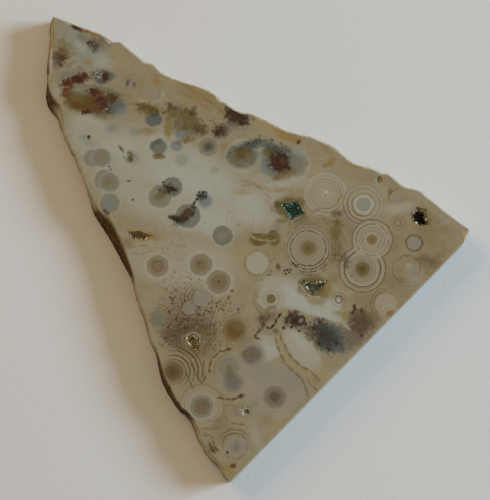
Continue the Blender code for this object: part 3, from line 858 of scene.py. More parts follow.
# Grey and blue orbs of the milky upper half, and the dark marks among them
MILK_ORBS = (
    Cloud(MIST_BLUE, (-37.0, 20.3), 6.0, 3.0, -8, 0.45, 0.9),
    Cloud(MIST_BLUE, (-34.1, 14.2), 3.9, 4.6, 0, 0.4, 0.9),
    Cloud(MIST_BLUE, (-38.9, 24.2), 3.7, 1.8, -20, 0.35, 0.9),
    grey_orb((-38.2, 20.3), 2.0, SMOKE, SMOKE, 0.95),
    grey_orb((-36.2, 20.5), 2.1, DRAB, SMOKE, 0.95),
    Rings(ASH, (-37.4, 20.2), (0.92, 1.6), 0.4, 0.35),
    grey_orb((-35.5, 15.2), 2.2, SMOKE, SMOKE, 0.95),
    grey_orb((-34.1, 14.5), 2.1, DRAB, SMOKE, 0.9),
    Cloud(FAWN, (-34.8, 14.6), 0.92, 0.92, 0, 0.6, 0.8, 0.6),
    grey_orb((-34.1, 9.7), 2.2, MIST_BLUE, SMOKE, 0.9),
    Cloud(MOLE, (-35.0, 7.5), 1.6, 0.92, -50, 0.8, 0.8, 0.6),
    Dots(UMBER, ((-34.5, 7.3), (-35.4, 7.8)), 0.6, 0.85),
    Cloud(MIST_BLUE, (-40.3, 25.4), 1.6, 1.2, 0, 0.4, 0.9),
    Cloud(UMBER, (-39.2, 25.4), 0.6, 0.51, 0, 0.9, 0.7, 0.4),
    Cloud(MIST_BLUE, (-28.8, 20.3), 2.3, 2.1, 0, 0.6),
    Cloud(SAGE, (-29.7, 20.8), 1.8, 2.1, 20, 0.85, 0.8, 0.4),
    Cloud(CHALK, (-30.0, 21.3), 0.92, 1.2, -30, 0.7, 0.7, grain=Grain.CRUMBS),
    Cloud(UMBER, (-29.5, 19.9), 0.92, 0.79, 30, 0.8, 0.7, 0.6),
    Cloud(BROWN, (-31.6, 22.6), 1.4, 0.51, -50, 0.85, 0.7, 0.4),
    Cloud(CREAM, (-27.4, 19.4), 1.6, 1.2, 0, 0.6, 0.9),
    Dots(COFFEE, ((-28.7, 10.4), (-34.4, 18.4), (-33.9, 17.6)), 0.39, 0.85),
    Cloud(MOLE, (-29.7, 14.9), 0.79, 0.42, 0, 0.85, 0.7),
    pale_orb((-22.8, 23.0), 3.0, MILK, 0.5),
    Cloud(DUSK, (-22.8, 23.0), 2.4, 2.3, 0, 0.9, 0.4),
    Cloud(STEEL, (-23.2, 24.2), 1.8, 1.0, 10, 0.85, 0.7, 0.5),
    Cloud(SLATE, (-24.4, 23.2), 0.92, 1.2, 0, 0.5, 0.8, 0.5),
    Cloud(FAWN, (-22.8, 20.7), 2.0, 0.92, 0, 0.97, 0.5),
    Cloud(UMBER, (-23.0, 21.1), 1.7, 0.65, -5, 0.8, 0.6, grain=Grain.CRUMBS),
    Cloud(MIST_BLUE, (-18.8, 23.2), 2.0, 1.7, 0, 0.85, 0.6),
    Cloud(STEEL, (-18.3, 23.9), 1.2, 0.79, 0, 0.5),
    Cloud(HAZE, (-17.4, 19.9), 2.5, 2.3, 0, 0.8, 0.7),
    Cloud(HAZE, (-9.7, 17.5), 1.6, 1.4, 0, 0.7),
    Cloud(HAZE, (-14.1, 18.0), 1.8, 1.4, 0, 0.35, 0.9),
    # The black knot in two grey orbs
    grey_orb((-19.7, 13.4), 2.3, SMOKE, DUSK, 0.95),
    grey_orb((-22.5, 11.2), 2.5, SMOKE, SMOKE, 0.97),
    Cloud(STEEL, (-21.3, 13.0), 2.8, 1.8, -20, 0.6),
    Cloud(OLIVE, (-22.5, 11.3), 1.8, 1.3, 10, 0.8, 0.7, 0.5),
    Cloud(MOSS, (-21.3, 12.3), 1.6, 1.2, 10, 0.8, 0.8, 0.7),
    Cloud(COFFEE, (-19.9, 13.0), 1.8, 1.3, -15, 0.95, 0.7, 1.0),
    Cloud(BLACK, (-19.9, 13.0), 2.1, 1.5, -15, 0.95, 0.4, grain=Grain.CRUMBS),
    Cloud(BLACK, (-19.4, 13.0), 1.2, 0.79, -30, 0.8, 0.7, 0.8),
    Dots(BLACK, ((-21.7, 14.6), (-21.5, 13.9), (-22.5, 12.7)), 0.42, 0.9),
    # The black crescent
    grey_orb((-15.9, 6.6), 2.7, SMOKE, DUSK, 0.95),
    Cloud(SLATE, (-16.9, 6.3), 3.5, 1.8, 25, 0.9, 0.7, 0.2),
    Cloud(MIST_BLUE, (-15.7, 5.9), 1.6, 0.92, 20, 0.7),
    Cloud(BLACK, (-19.2, 6.3), 1.8, 0.92, -5, 0.95, 0.6, 0.5),
    Cloud(COFFEE, (-17.3, 6.1), 2.5, 1.2, 20, 0.9, 0.8, 0.6),
    Cloud(UMBER, (-16.2, 7.3), 2.1, 1.3, 40, 0.95, 0.6, 0.5),
    Cloud(MOSS, (-15.9, 7.3), 1.2, 0.69, 40, 0.5, 0.8, 0.6),
    Cloud(COFFEE, (-14.5, 8.5), 1.0, 0.69, 40, 0.85, 0.7, 0.6),
    Vein(BLACK, ((-20.6, 6.6), (-19.2, 5.8), (-17.3, 5.4), (-15.5, 6.1), (-14.3, 7.8)), 0.51, 0.75),
    # The black dendrite in its blue orb
    Cloud(MIST_BLUE, (-12.0, 10.1), 2.3, 2.1, 30, 0.9, 0.6),
    Cloud(SLATE, (-12.7, 11.3), 1.8, 1.5, 20, 0.85, 0.7, 0.3),
    Cloud(BLACK, (-12.7, 11.5), 1.7, 1.4, 20, 0.97, 0.3, grain=Grain.CRUMBS),
    Vein(BLACK, ((-14.8, 8.9), (-14.3, 10.1), (-13.6, 10.8), (-12.7, 11.8), (-12.0, 12.5)), 0.42,
        0.95),
    Dots(BLACK, ((-15.0, 8.7), (-13.4, 12.3), (-11.8, 11.3)), 0.39, 0.95),
    grey_orb((-7.9, 2.0), 2.2, SMOKE, DUSK, 0.95),
    Cloud(FAWN, (-8.0, 3.0), 1.4, 0.79, 0, 0.55, 0.9),
    Dots(MOLE, ((-6.3, 7.5), (-4.3, 4.5), (-12.0, 4.9)), 0.3, 0.7),
    Rings(SAND, (-3.9, 5.2), (2.1, 3.2), 0.3, 0.4),
)

# The middles of the five largest ringed orbs
BIG_ORB, HIGH_TWIN, LOW_TWIN, WHITE_EYE, GREY_EYE = (
    (11.9, -1.0), (26.7, 1.0), (24.4, -5.9), (16.0, 11.8), (24.8, 9.3))
# The large ringed orbs of the right half
RINGED_ORBS = (
    Cloud(PEARL, (15.9, 14.2), 7.9, 3.2, -10, 0.5),
    Orb(WHITE_EYE, ((0.0, PEARL, 0.9), (3.2, CREAM, 0.8), (4.8, PEARL, 0.7), (5.4, PEARL, 0.0))),
    ring_line(SAND, WHITE_EYE, (1.3,), 0.7),
    ring_line(FAWN, WHITE_EYE, (3.5,), 0.4),
    ring_line(HONEY, WHITE_EYE, (4.3, 5.2), 0.4),
    ring_line(FAWN, WHITE_EYE, (2.1, 2.8), 0.25),
    ring_line(BROWN, WHITE_EYE, (3.5, 4.4), 0.5, (Window((18.4, 8.9), 3.5, 1.5),)),
    Dots(MOLE, ((16.0, 11.4),), 0.37, 0.8),
    Dots(CHALK, ((16.1, 12.1),), 0.69, 0.35),
    Cloud(GOLD, (19.3, 10.8), 1.6, 0.51, 55, 0.7),
    Cloud(FAWN, (13.8, 8.0), 1.6, 0.69, 20, 0.6),
    Orb(GREY_EYE, ((0.0, HAZE, 0.95), (1.35, HAZE, 0.95), (1.75, MILK, 0.9), (2.5, CREAM, 0.8),
        (4.7, CREAM, 0.6), (5.4, CREAM, 0.0))),
    ring_line(MOLE, GREY_EYE, (1.5,), 0.35),
    ring_line(FAWN, GREY_EYE, (2.7, 3.8), 0.55),
    ring_line(FAWN, GREY_EYE, (4.7,), 0.5),
    ring_line(BROWN, GREY_EYE, (2.7, 3.8, 4.7), 0.65, (Window((22.6, 6.6), 3.9, 2.0),)),
    Orb(BIG_ORB, ((0.0, MOSS, 0.97), (0.7, OLIVE, 0.95), (1.6, FAWN, 0.85), (2.1, PUTTY, 0.85),
        (3.7, CREAM, 0.8), (4.1, CREAM, 0.8), (4.9, PUTTY, 0.7), (6.0, PUTTY, 0.0))),
    ring_line(FAWN, BIG_ORB, (2.3, 3.0, 3.5), 0.45),
    ring_line(UMBER, BIG_ORB, (4.1,), 0.75, grain=Grain.BROKEN),
    ring_line(BROWN, BIG_ORB, (4.1, 4.9), 0.5),
    ring_line(BROWN, BIG_ORB, (5.6,), 0.5, grain=Grain.BROKEN),
    ring_line(PLUM, BIG_ORB, (4.2, 4.9, 5.6, 6.4), 0.7, (Window((14.1, -5.6), 4.2, 1.6),),
        Grain.BROKEN),
    ring_line(BROWN, BIG_ORB, (6.4, 7.2), 0.5, (Window((17.4, 0.9), 3.7, 1.6),)),
    Orb(HIGH_TWIN, ((0.0, OLIVE, 0.95), (0.9, FAWN, 0.85), (1.5, CREAM, 0.8), (3.3, CREAM, 0.8),
        (4.6, CREAM, 0.6), (5.2, CREAM, 0.0))),
    Orb(LOW_TWIN, ((0.0, COFFEE, 0.97), (0.4, MOSS, 0.95), (1.4, OLIVE, 0.9), (2.1, PUTTY, 0.85),
        (3.9, CREAM, 0.8), (5.0, CREAM, 0.6), (5.9, CREAM, 0.0))),
    ring_line(FAWN, HIGH_TWIN, (2.1, 2.8), 0.5),
    ring_line(BROWN, HIGH_TWIN, (3.7,), 0.65, grain=Grain.BROKEN),
    ring_line(BROWN, HIGH_TWIN, (4.7,), 0.75, (Window(LOW_TWIN, 5.4, 0.3, False),)),
    ring_line(FAWN, LOW_TWIN, (2.3, 3.0), 0.45),
    ring_line(PLUM, LOW_TWIN, (4.2,), 0.97, (Window(HIGH_TWIN, 4.7, 0.3, False),)),
    ring_line(BROWN, LOW_TWIN, (5.4,), 0.8, (Window(HIGH_TWIN, 4.7, 0.3, False),)),
    ring_line(BROWN, LOW_TWIN, (4.7,), 0.5, (Window((24.3, -9.6), 3.2, 1.6),)),
    ring_line(MOLE, (18.9, -3.2), (0.75,), 0.7),
    Dots(PLUM, ((21.8, -4.2), (21.3, -3.3), (22.0, -7.3), (22.9, -8.7)), 0.32, 0.6),
    ring_line(BROWN, (32.7, 5.0), (0.81,), 0.6),
    ring_line(FAWN, (32.7, 5.0), (1.6,), 0.4),
    Orb((36.4, 0.2), ((0.0, DOVE, 0.9), (1.5, DOVE, 0.9), (1.75, MOLE, 0.8), (2.0, MOLE, 0.5),
        (2.35, MOLE, 0.0))),
    Cloud(PEARL, (36.3, -2.8), 2.1, 0.92, 0, 0.4, 0.9),
    Cloud(OLIVE, (37.9, 5.9), 3.5, 3.2, 0, 0.6, 0.8, 0.3),
    Cloud(COFFEE, (37.9, 6.1), 3.2, 3.0, 0, 0.9, 0.6, grain=Grain.FLECKS),
    Cloud(CREAM, (37.9, 5.9), 3.0, 2.8, 0, 0.8, 0.6, grain=Grain.CRUMBS),
    Cloud(MOLE, (39.1, -4.2), 3.9, 2.3, -15, 0.7, 0.9, 0.5),
    Cloud(DOVE, (36.1, -6.3), 3.0, 2.3, 20, 0.85, 0.7),
    Cloud(PEARL, (35.2, -5.2), 1.8, 1.4, 20, 0.6, 0.9),
    ring_line(BROWN, (34.9, -5.6), (2.9,), 0.7, (Window((35.9, -2.8), 3.5, 2.0),)),
    ring_line(MOLE, (34.9, -5.6), (3.6,), 0.5, (Window((32.6, -7.5), 3.5, 2.0),)),
    ring_line(FAWN, (34.9, -5.6), (4.4, 5.3), 0.45, (Window((37.6, -8.4), 3.9, 2.0),)),
    Cloud(FAWN, (33.3, -8.2), 0.92, 1.2, -20, 0.5, 0.8, 0.4),
    Cloud(FAWN, (41.4, -4.7), 1.8, 0.83, 25, 0.6, 0.9),
    Cloud(HONEY, (43.6, 0.5), 2.1, 0.69, 40, 0.4, 0.9),
    # Painted highlight: the straw patch at the right corner lightens the chip where the key light
    # catches its facet.
    Cloud(STRAW, (48.2, 2.1), 0.79, 1.6, 15, 0.8, 0.7, 0.3),
    Cloud(BROWN, (31.0, 12.3), 0.92, 1.8, -10, 0.6, 0.9, 0.3),
    Cloud(DOVE, (32.8, 10.8), 2.1, 1.4, 0, 0.8, 0.7),
    ring_line(BROWN, (32.8, 10.8), (2.2,), 0.5, (Window((31.4, 12.3), 2.1, 1.2),)),
    Orb((0.1, -4.5), ((0.0, PEARL, 0.95), (2.4, PEARL, 0.9), (2.75, TAN, 0.5), (3.1, TAN, 0.0))),
    ring_line(FAWN, (0.1, -4.5), (2.95,), 0.65, (Window((-2.3, -6.3), 3.2, 1.5),)),
    ring_line(SAND, (0.1, -4.5), (3.9,), 0.4),
    Orb((29.7, -14.0), ((0.0, CREAM, 0.8), (2.2, CREAM, 0.7), (2.9, CREAM, 0.0))),
    ring_line(BROWN, (29.7, -14.0), (2.8, 3.5), 0.55, (Window((27.4, -12.6), 3.0, 1.6),)),
    Cloud(ORANGE, (30.5, -16.1), 1.4, 1.0, 30, 0.75, 0.8, 0.5),
    ring_line(PEARL, (30.4, -16.1), (1.8,), 0.6),
)

# Olive, brown and black marks between the hollows
CENTRE_MARKS = (
    Cloud(SAGE, (7.7, 8.2), 5.1, 3.5, -20, 0.55),
    Cloud(OLIVE, (7.7, 8.2), 4.4, 3.5, -18, 0.9, 0.5, 0.25),
    Cloud(MOSS, (4.9, 9.4), 1.4, 1.2, -30, 0.9, 0.7, 0.2),
    Cloud(OLIVE, (10.1, 10.1), 1.8, 1.4, -20, 0.8, 0.7),
    Cloud(MOSS, (7.7, 8.2), 3.7, 3.0, -15, 0.7, 0.4, grain=Grain.CRUMBS),
    Vein(PEARL, ((8.6, 5.6), (10.3, 6.8), (11.0, 8.7)), 0.37, 0.6),
    Cloud(OLIVE, (5.6, 5.4), 1.8, 0.92, -10, 0.7, 0.8, 0.3),
    Cloud(SAGE, (4.7, 4.2), 1.8, 2.1, 0, 0.5, 0.9),
    Cloud(FAWN, (16.1, 5.6), 5.1, 1.4, -5, 0.5, 0.9, 0.4),
    Cloud(PLUM, (18.6, 7.1), 2.1, 1.2, 0, 0.97, 0.5, grain=Grain.CRUMBS),
    Cloud(PLUM, (18.6, 7.1), 1.6, 0.92, 0, 0.6, 0.8, 0.8),
    Cloud(PLUM, (14.7, 5.2), 3.5, 1.4, 5, 0.8, 0.6, grain=Grain.FLECKS),
    Cloud(OLIVE, (18.6, 4.0), 2.1, 2.8, -8, 0.85, 0.8, 0.5),
    Cloud(OLIVE, (18.3, 1.9), 1.2, 1.4, 0, 0.8, 0.7, 0.4),
    Cloud(MOSS, (18.6, 5.2), 0.92, 1.2, 0, 0.6, 0.9),
    Cloud(FAWN, (18.1, -1.9), 1.8, 3.0, -15, 0.6, 0.8, 0.5),
    Cloud(PLUM, (18.3, -2.1), 1.6, 3.0, -10, 0.75, 0.6, grain=Grain.FLECKS),
    Cloud(MOLE, (20.6, -4.2), 1.2, 2.3, 10, 0.75, 0.7, 0.7),
    Cloud(FAWN, (17.8, -8.0), 2.3, 2.1, 0, 0.5, 0.9),
    Dots(BLACK, ((8.3, -4.5), (8.8, -4.9), (9.5, -4.8), (9.1, -5.4), (6.4, -6.3), (7.0, -6.1),
        (7.4, -6.7), (6.7, -7.0), (7.7, -6.1)), 0.39, 0.97),
    Cloud(BROWN, (4.9, -5.3), 0.92, 1.2, 20, 0.9, 0.7, 0.3),
    Cloud(MOLE, (4.2, -7.0), 3.9, 1.6, 15, 0.75, 0.6, grain=Grain.FLECKS),
    Dots(MOLE, ((3.4, -4.1), (4.0, -3.5), (2.6, -7.3), (1.2, -8.4)), 0.3, 0.7),
    Cloud(PLUM, (12.7, -6.8), 4.2, 1.4, 3, 0.8, 0.6, grain=Grain.WORMS),
    Cloud(OLIVE, (1.7, 1.2), 4.2, 1.5, 3, 0.97, 0.4, 0.1),
    Cloud(OLIVE, (0.1, 0.9), 2.1, 1.8, -20, 0.97, 0.4, 0.2),
    Cloud(OLIVE, (4.0, 1.4), 1.8, 2.3, 10, 0.97, 0.4, 0.2),
    Cloud(MOSS, (0.1, 0.2), 1.4, 0.92, 0, 0.6),
    Vein(SAND, ((-1.3, 1.9), (0.1, 1.2), (1.7, 0.9), (3.3, 0.7), (5.2, 1.2)), 0.35, 0.95),
    Vein(MOSS, ((-1.6, 2.6), (0.3, 2.1), (2.6, 2.3), (4.7, 3.5)), 0.25, 0.7),
    Cloud(OLIVE, (13.4, -10.3), 4.4, 3.0, -5, 0.9, 0.4, 0.2),
    Cloud(GOLD, (16.4, -10.1), 1.2, 2.5, 10, 0.7, 0.8, 0.3),
    Cloud(MOSS, (10.7, -8.9), 1.4, 0.92, 0, 0.8, 0.7),
    Vein(PEARL, ((10.0, -9.6), (11.3, -11.5), (13.2, -12.6), (14.6, -12.2)), 0.35, 0.85),
    Cloud(GOLD, (12.0, -13.1), 2.1, 0.69, -40, 0.6),
    Orb((3.3, -12.8), ((0.0, OLIVE, 0.97), (0.9, OLIVE, 0.9), (1.3, PEARL, 0.8), (2.8, PEARL, 0.8),
        (3.7, CREAM, 0.0))),
    ring_line(FAWN, (3.3, -12.8), (1.8,), 0.4),
    ring_line(BROWN, (3.3, -12.8), (3.2, 4.0), 0.5, (Window((1.2, -14.5), 3.5, 1.6),),
        Grain.BROKEN),
    Cloud(FAWN, (2.1, -16.8), 3.5, 2.1, 35, 0.75, 0.8, 0.6),
    Cloud(PLUM, (2.6, -17.3), 4.6, 2.3, 40, 0.85, 0.6, grain=Grain.MOTTLE),
    Vein(COFFEE, ((5.8, -16.1), (4.6, -17.3), (4.2, -18.7), (3.0, -19.8), (2.1, -19.4)), 0.46,
        0.97),
    Vein(PLUM, ((1.7, -17.8), (1.0, -19.6), (-0.2, -21.0), (-0.6, -21.9), (0.7, -22.2)), 0.46,
        0.95),
    Vein(PLUM, ((3.0, -16.4), (2.1, -18.2), (1.2, -20.1)), 0.37, 0.8),
    Cloud(MOLE, (9.2, -18.2), 3.2, 2.5, -10, 0.8, 0.7, 0.4),
    Cloud(OXIDE, (9.0, -17.5), 3.0, 2.1, -10, 0.9, 0.7, 0.9),
    Cloud(BLACK, (8.8, -18.2), 3.2, 2.5, -20, 0.97, 0.5, grain=Grain.MOTTLE),
    Cloud(OXIDE, (8.8, -16.1), 1.4, 0.92, 0, 0.8, 0.8, 0.6),
    Orb((10.1, -17.9), ((0.0, DOVE, 0.97), (0.6, MOLE, 0.95), (0.85, BLACK, 0.95),
        (1.25, BLACK, 0.0))),
    Dots(BLACK, ((7.9, -19.4), (6.9, -18.2), (9.7, -20.3), (11.3, -18.7), (12.0, -19.6),
        (6.2, -19.6)), 0.55, 0.95),
    # The slate mass with its pale upper rim
    Cloud(MOLE, (23.7, -19.6), 6.9, 4.4, 44, 0.85, 0.8, 0.4),
    Cloud(LILAC, (21.4, -22.4), 5.1, 3.5, 44, 0.85, 0.8, 0.4),
    Cloud(STEEL, (16.6, -21.7), 6.2, 4.4, -35, 0.97, 0.6, 0.3),
    Cloud(SLATE, (16.3, -21.7), 5.8, 3.9, -35, 0.97, 0.7, 0.4),
    Cloud(STEEL, (18.6, -20.3), 2.3, 1.4, -20, 0.5, 0.9, 0.3),
    Cloud(SLATE, (15.4, -20.1), 4.2, 2.5, -32, 0.85, 0.8, 0.7, gain=0.8),
    Cloud(MOLE, (12.4, -20.8), 2.8, 2.3, -40, 0.8, 0.8, 0.7),
    Cloud(COFFEE, (15.2, -21.9), 4.4, 3.2, -35, 0.8, 0.6, grain=Grain.CRUMBS),
    Cloud(STEEL, (18.6, -24.0), 2.3, 1.6, -35, 0.5, 0.9, 0.3),
    Dots(GARNET, ((14.2, -23.1), (14.5, -18.2), (18.3, -23.2), (16.5, -24.7), (15.0, -21.2),
        (13.1, -19.6)), 0.69, 0.9),
    Cloud(MILK, (16.6, -17.1), 5.1, 0.92, -22, 0.8, 0.6),
    Cloud(MILK, (20.5, -19.2), 2.1, 0.69, -45, 0.6),
    Cloud(FAWN, (25.1, -17.3), 4.2, 3.5, -20, 0.8, 0.7, 0.4),
    Cloud(MOLE, (23.9, -18.0), 3.5, 3.2, -35, 0.9, 0.7, 0.5),
    Cloud(UMBER, (23.2, -18.9), 3.0, 3.2, -40, 0.8, 0.7, grain=Grain.MOTTLE),
    Cloud(UMBER, (22.5, -15.2), 0.6, 1.6, -10, 0.9, 0.7, 0.3),
    Cloud(UMBER, (24.0, -15.7), 0.51, 1.2, 10, 0.85, 0.7, 0.3),
    Dots(GARNET, ((22.5, -14.5), (24.1, -21.4), (21.9, -16.1)), 0.6, 0.85),
    Cloud(GOLD, (20.2, -16.6), 0.83, 1.6, -10, 0.8, 0.7, 0.4),
    Rings(PLUM, (18.9, -13.0), (0.83,), 0.85, 0.3),
    Rings(FAWN, (18.9, -13.0), (1.6,), 0.4, 0.3),
)

# The brown speckled field of the lower left and its curved lines
LOWER_FIELD = (
    Cloud(DRAB, (-16.3, -15.0), 8.8, 5.5, -10, 0.5, 0.9, 0.4),
    Cloud(BROWN, (-16.3, -9.8), 7.9, 5.1, -10, 0.9, 0.6, grain=Grain.DASHES),
    Cloud(BROWN, (-13.5, -18.2), 10.2, 6.0, -25, 0.6, 0.6, grain=Grain.DASHES),
    Cloud(PLUM, (-17.2, -14.0), 7.9, 4.6, -10, 0.85, 0.6, grain=Grain.DASHES),
    Cloud(BROWN, (-15.3, -20.5), 8.8, 6.7, -30, 0.85, 0.7, grain=Grain.MOTTLE),
    Cloud(UMBER, (-11.7, -18.2), 12.0, 8.3, -20, 0.8, 0.5, grain=Grain.DASHES),
    Cloud(BROWN, (-21.2, -1.4), 8.3, 6.0, -20, 0.4, 0.6, grain=Grain.DASHES),
    Cloud(BROWN, (-8.0, -14.0), 6.9, 2.8, -5, 0.8, 0.6, grain=Grain.FLECKS),
    Cloud(PLUM, (-20.4, -21.9), 4.2, 3.0, -50, 0.55, 0.9, 0.9),
    Cloud(PLUM, (-15.4, -17.3), 7.9, 5.1, -20, 0.9, 0.6, grain=Grain.WORMS),
    Cloud(PLUM, (-15.8, -21.2), 6.9, 5.1, -35, 0.85, 0.6, grain=Grain.CRUMBS),
    Cloud(COFFEE, (-18.6, -21.2), 6.5, 4.6, -50, 0.9, 0.6, grain=Grain.FLECKS),
    Cloud(COFFEE, (-11.7, -18.2), 4.6, 3.2, -30, 0.8, 0.6, grain=Grain.FLECKS),
    Cloud(FAWN, (-13.9, -25.2), 5.1, 2.8, -20, 0.6),
    Cloud(SAGE, (-22.9, -17.5), 2.3, 2.5, 0, 0.85, 0.5, 0.2),
    ring_line(BROWN, (-22.9, -17.5), (2.5, 3.4), 0.5, (Window((-20.9, -15.9), 2.8, 1.4),)),
    Cloud(FAWN, (-30.0, 0.2), 2.3, 2.8, -60, 0.6, 0.9),
    Cloud(HONEY, (-24.2, 1.6), 2.8, 1.4, -12, 0.75, 0.9, 0.3),
    Cloud(BROWN, (-25.2, 1.9), 2.1, 0.92, -8, 0.6, 0.8, 0.3),
    Vein(GOLD, ((-30.7, 3.3), (-28.7, 3.0), (-26.3, 3.2), (-24.2, 2.3)), 0.37, 0.95),
    Vein(GOLD, ((-29.8, 1.4), (-27.7, 0.7), (-25.6, 0.7), (-24.0, 1.9)), 0.32, 0.9),
    Vein(FAWN, ((-29.8, -0.5), (-27.5, -0.7), (-25.2, -0.2)), 0.3, 0.6, grain=Grain.BROKEN),
    Vein(FAWN, ((-29.3, -2.1), (-27.0, -2.4), (-24.7, -1.7)), 0.3, 0.55, grain=Grain.BROKEN),
    Vein(FAWN, ((-22.4, -1.0), (-19.6, -0.2), (-16.8, -0.7)), 0.3, 0.35, grain=Grain.BROKEN),
    pale_orb((-12.9, -4.9), 3.5, PEARL, 0.5),
    grey_orb((-12.9, -4.9), 2.5, FAWN, DRAB, 0.9),
    Cloud(BROWN, (-13.1, -4.7), 1.4, 1.2, 0, 0.6, 0.9),
    pale_orb((-8.8, -8.9), 3.5, PEARL, 0.65),
    grey_orb((-8.8, -8.9), 2.6, FAWN, DRAB, 0.9),
    Rings(BROWN, (-8.8, -8.9), (0.9, 1.6), 0.4, 0.3),
    Dots(COFFEE, ((-8.8, -8.8),), 0.42, 0.85),
    pale_orb((-22.9, -5.2), 3.2, PEARL, 0.35),
    grey_orb((-22.9, -5.2), 2.4, FAWN, DRAB, 0.9),
    Rings(UMBER, (-22.9, -5.2), (1.2,), 0.35, 0.35),
    Dots(GOLD, ((-22.9, -4.9), (-12.8, -4.8)), 0.39, 0.6),
    pale_orb((-12.8, -12.6), 2.1, DOVE, 0.85),
    Rings(BROWN, (-12.8, -12.6), (2.2, 2.9), 0.8, 0.28, windows=(Window((-14.7, -13.3), 2.5,
        1.2),)),
    Rings(PLUM, (-12.8, -12.6), (3.8,), 0.8, 0.3, grain=Grain.BROKEN,
        windows=(Window((-15.4, -13.1), 2.8, 1.2),)),
    Dots(COFFEE, ((-11.0, -13.9), (-9.2, -14.6), (-10.8, -15.9), (-6.4, -12.5), (-16.5, -13.3),
        (-19.8, -12.6), (-19.3, -13.1), (-20.2, -15.7), (-5.7, -11.0), (-4.3, -15.2)), 0.44, 0.85),
    pale_orb((-15.6, -15.0), 1.6, DOVE, 0.7),
    ring_line(PLUM, (-15.6, -15.0), (1.8,), 0.6, (Window((-16.7, -16.1), 1.8, 1.0),)),
    Orb((-5.1, -20.1), ((0.0, AMBER, 0.97), (1.5, AMBER, 0.9), (2.5, FAWN, 0.85), (3.2, TAN, 0.6),
        (4.2, TAN, 0.0))),
    Rings(FAWN, (-5.1, -20.1), (3.5, 4.2), 0.4, 0.3, grain=Grain.BROKEN),
    Cloud(SMOKE, (-4.3, -19.4), 1.6, 1.2, 0, 0.3, 0.9),
    Rings(BROWN, (-5.1, -20.1), (4.9, 5.7, 6.5), 0.65, 0.3, grain=Grain.BROKEN,
        windows=(Window((-9.4, -21.7), 3.9, 1.6),)),
    Orb((-19.2, -29.8), ((0.0, UMBER, 0.9), (1.4, BROWN, 0.9), (2.3, FAWN, 0.6), (3.4, FAWN, 0.0))),
    Rings(BROWN, (-19.2, -29.8), (2.1, 3.0, 3.9, 4.9, 5.8, 6.7), 0.8, 0.32,
        windows=(Window((-15.8, -27.7), 4.6, 2.0),)),
    Rings(UMBER, (-19.2, -29.8), (3.9, 5.8), 0.8, 0.3, windows=(Window((-15.8, -26.5), 3.5, 1.6),)),
    Vein(BROWN, ((-15.3, -27.5), (-13.9, -29.8), (-13.0, -32.1), (-12.3, -32.1), (-11.6, -30.5)),
        0.35, 0.9),
    Vein(BROWN, ((-12.1, -27.0), (-12.3, -28.9), (-12.3, -30.9)), 0.32, 0.8),
    Vein(BROWN, ((-16.4, -29.8), (-15.5, -31.4), (-14.6, -33.9)), 0.3, 0.7),
    Vein(BROWN, ((-7.1, -24.7), (-8.7, -25.2), (-10.3, -26.8), (-11.0, -28.9), (-10.7, -30.0)),
        0.39, 0.9),
    Cloud(UMBER, (-6.6, -24.5), 1.2, 0.65, 10, 0.85),
    Vein(FAWN, ((-9.4, -27.5), (-9.8, -29.3), (-9.6, -30.9)), 0.35, 0.6),
    Cloud(OLIVE, (-14.6, -22.9), 3.0, 2.3, -35, 0.8, 0.7, 0.3),
    Cloud(CREAM, (-14.6, -22.9), 3.2, 2.3, -35, 0.75, 0.5, grain=Grain.CRUMBS),
    Cloud(COFFEE, (-14.4, -22.4), 2.3, 1.6, -35, 0.75, 0.6, grain=Grain.CRUMBS),
    ring_line(CREAM, (-14.6, -22.2), (1.5,), 0.7),
    ring_line(BROWN, (-14.6, -22.6), (3.0, 3.8), 0.5, (), Grain.BROKEN),
)

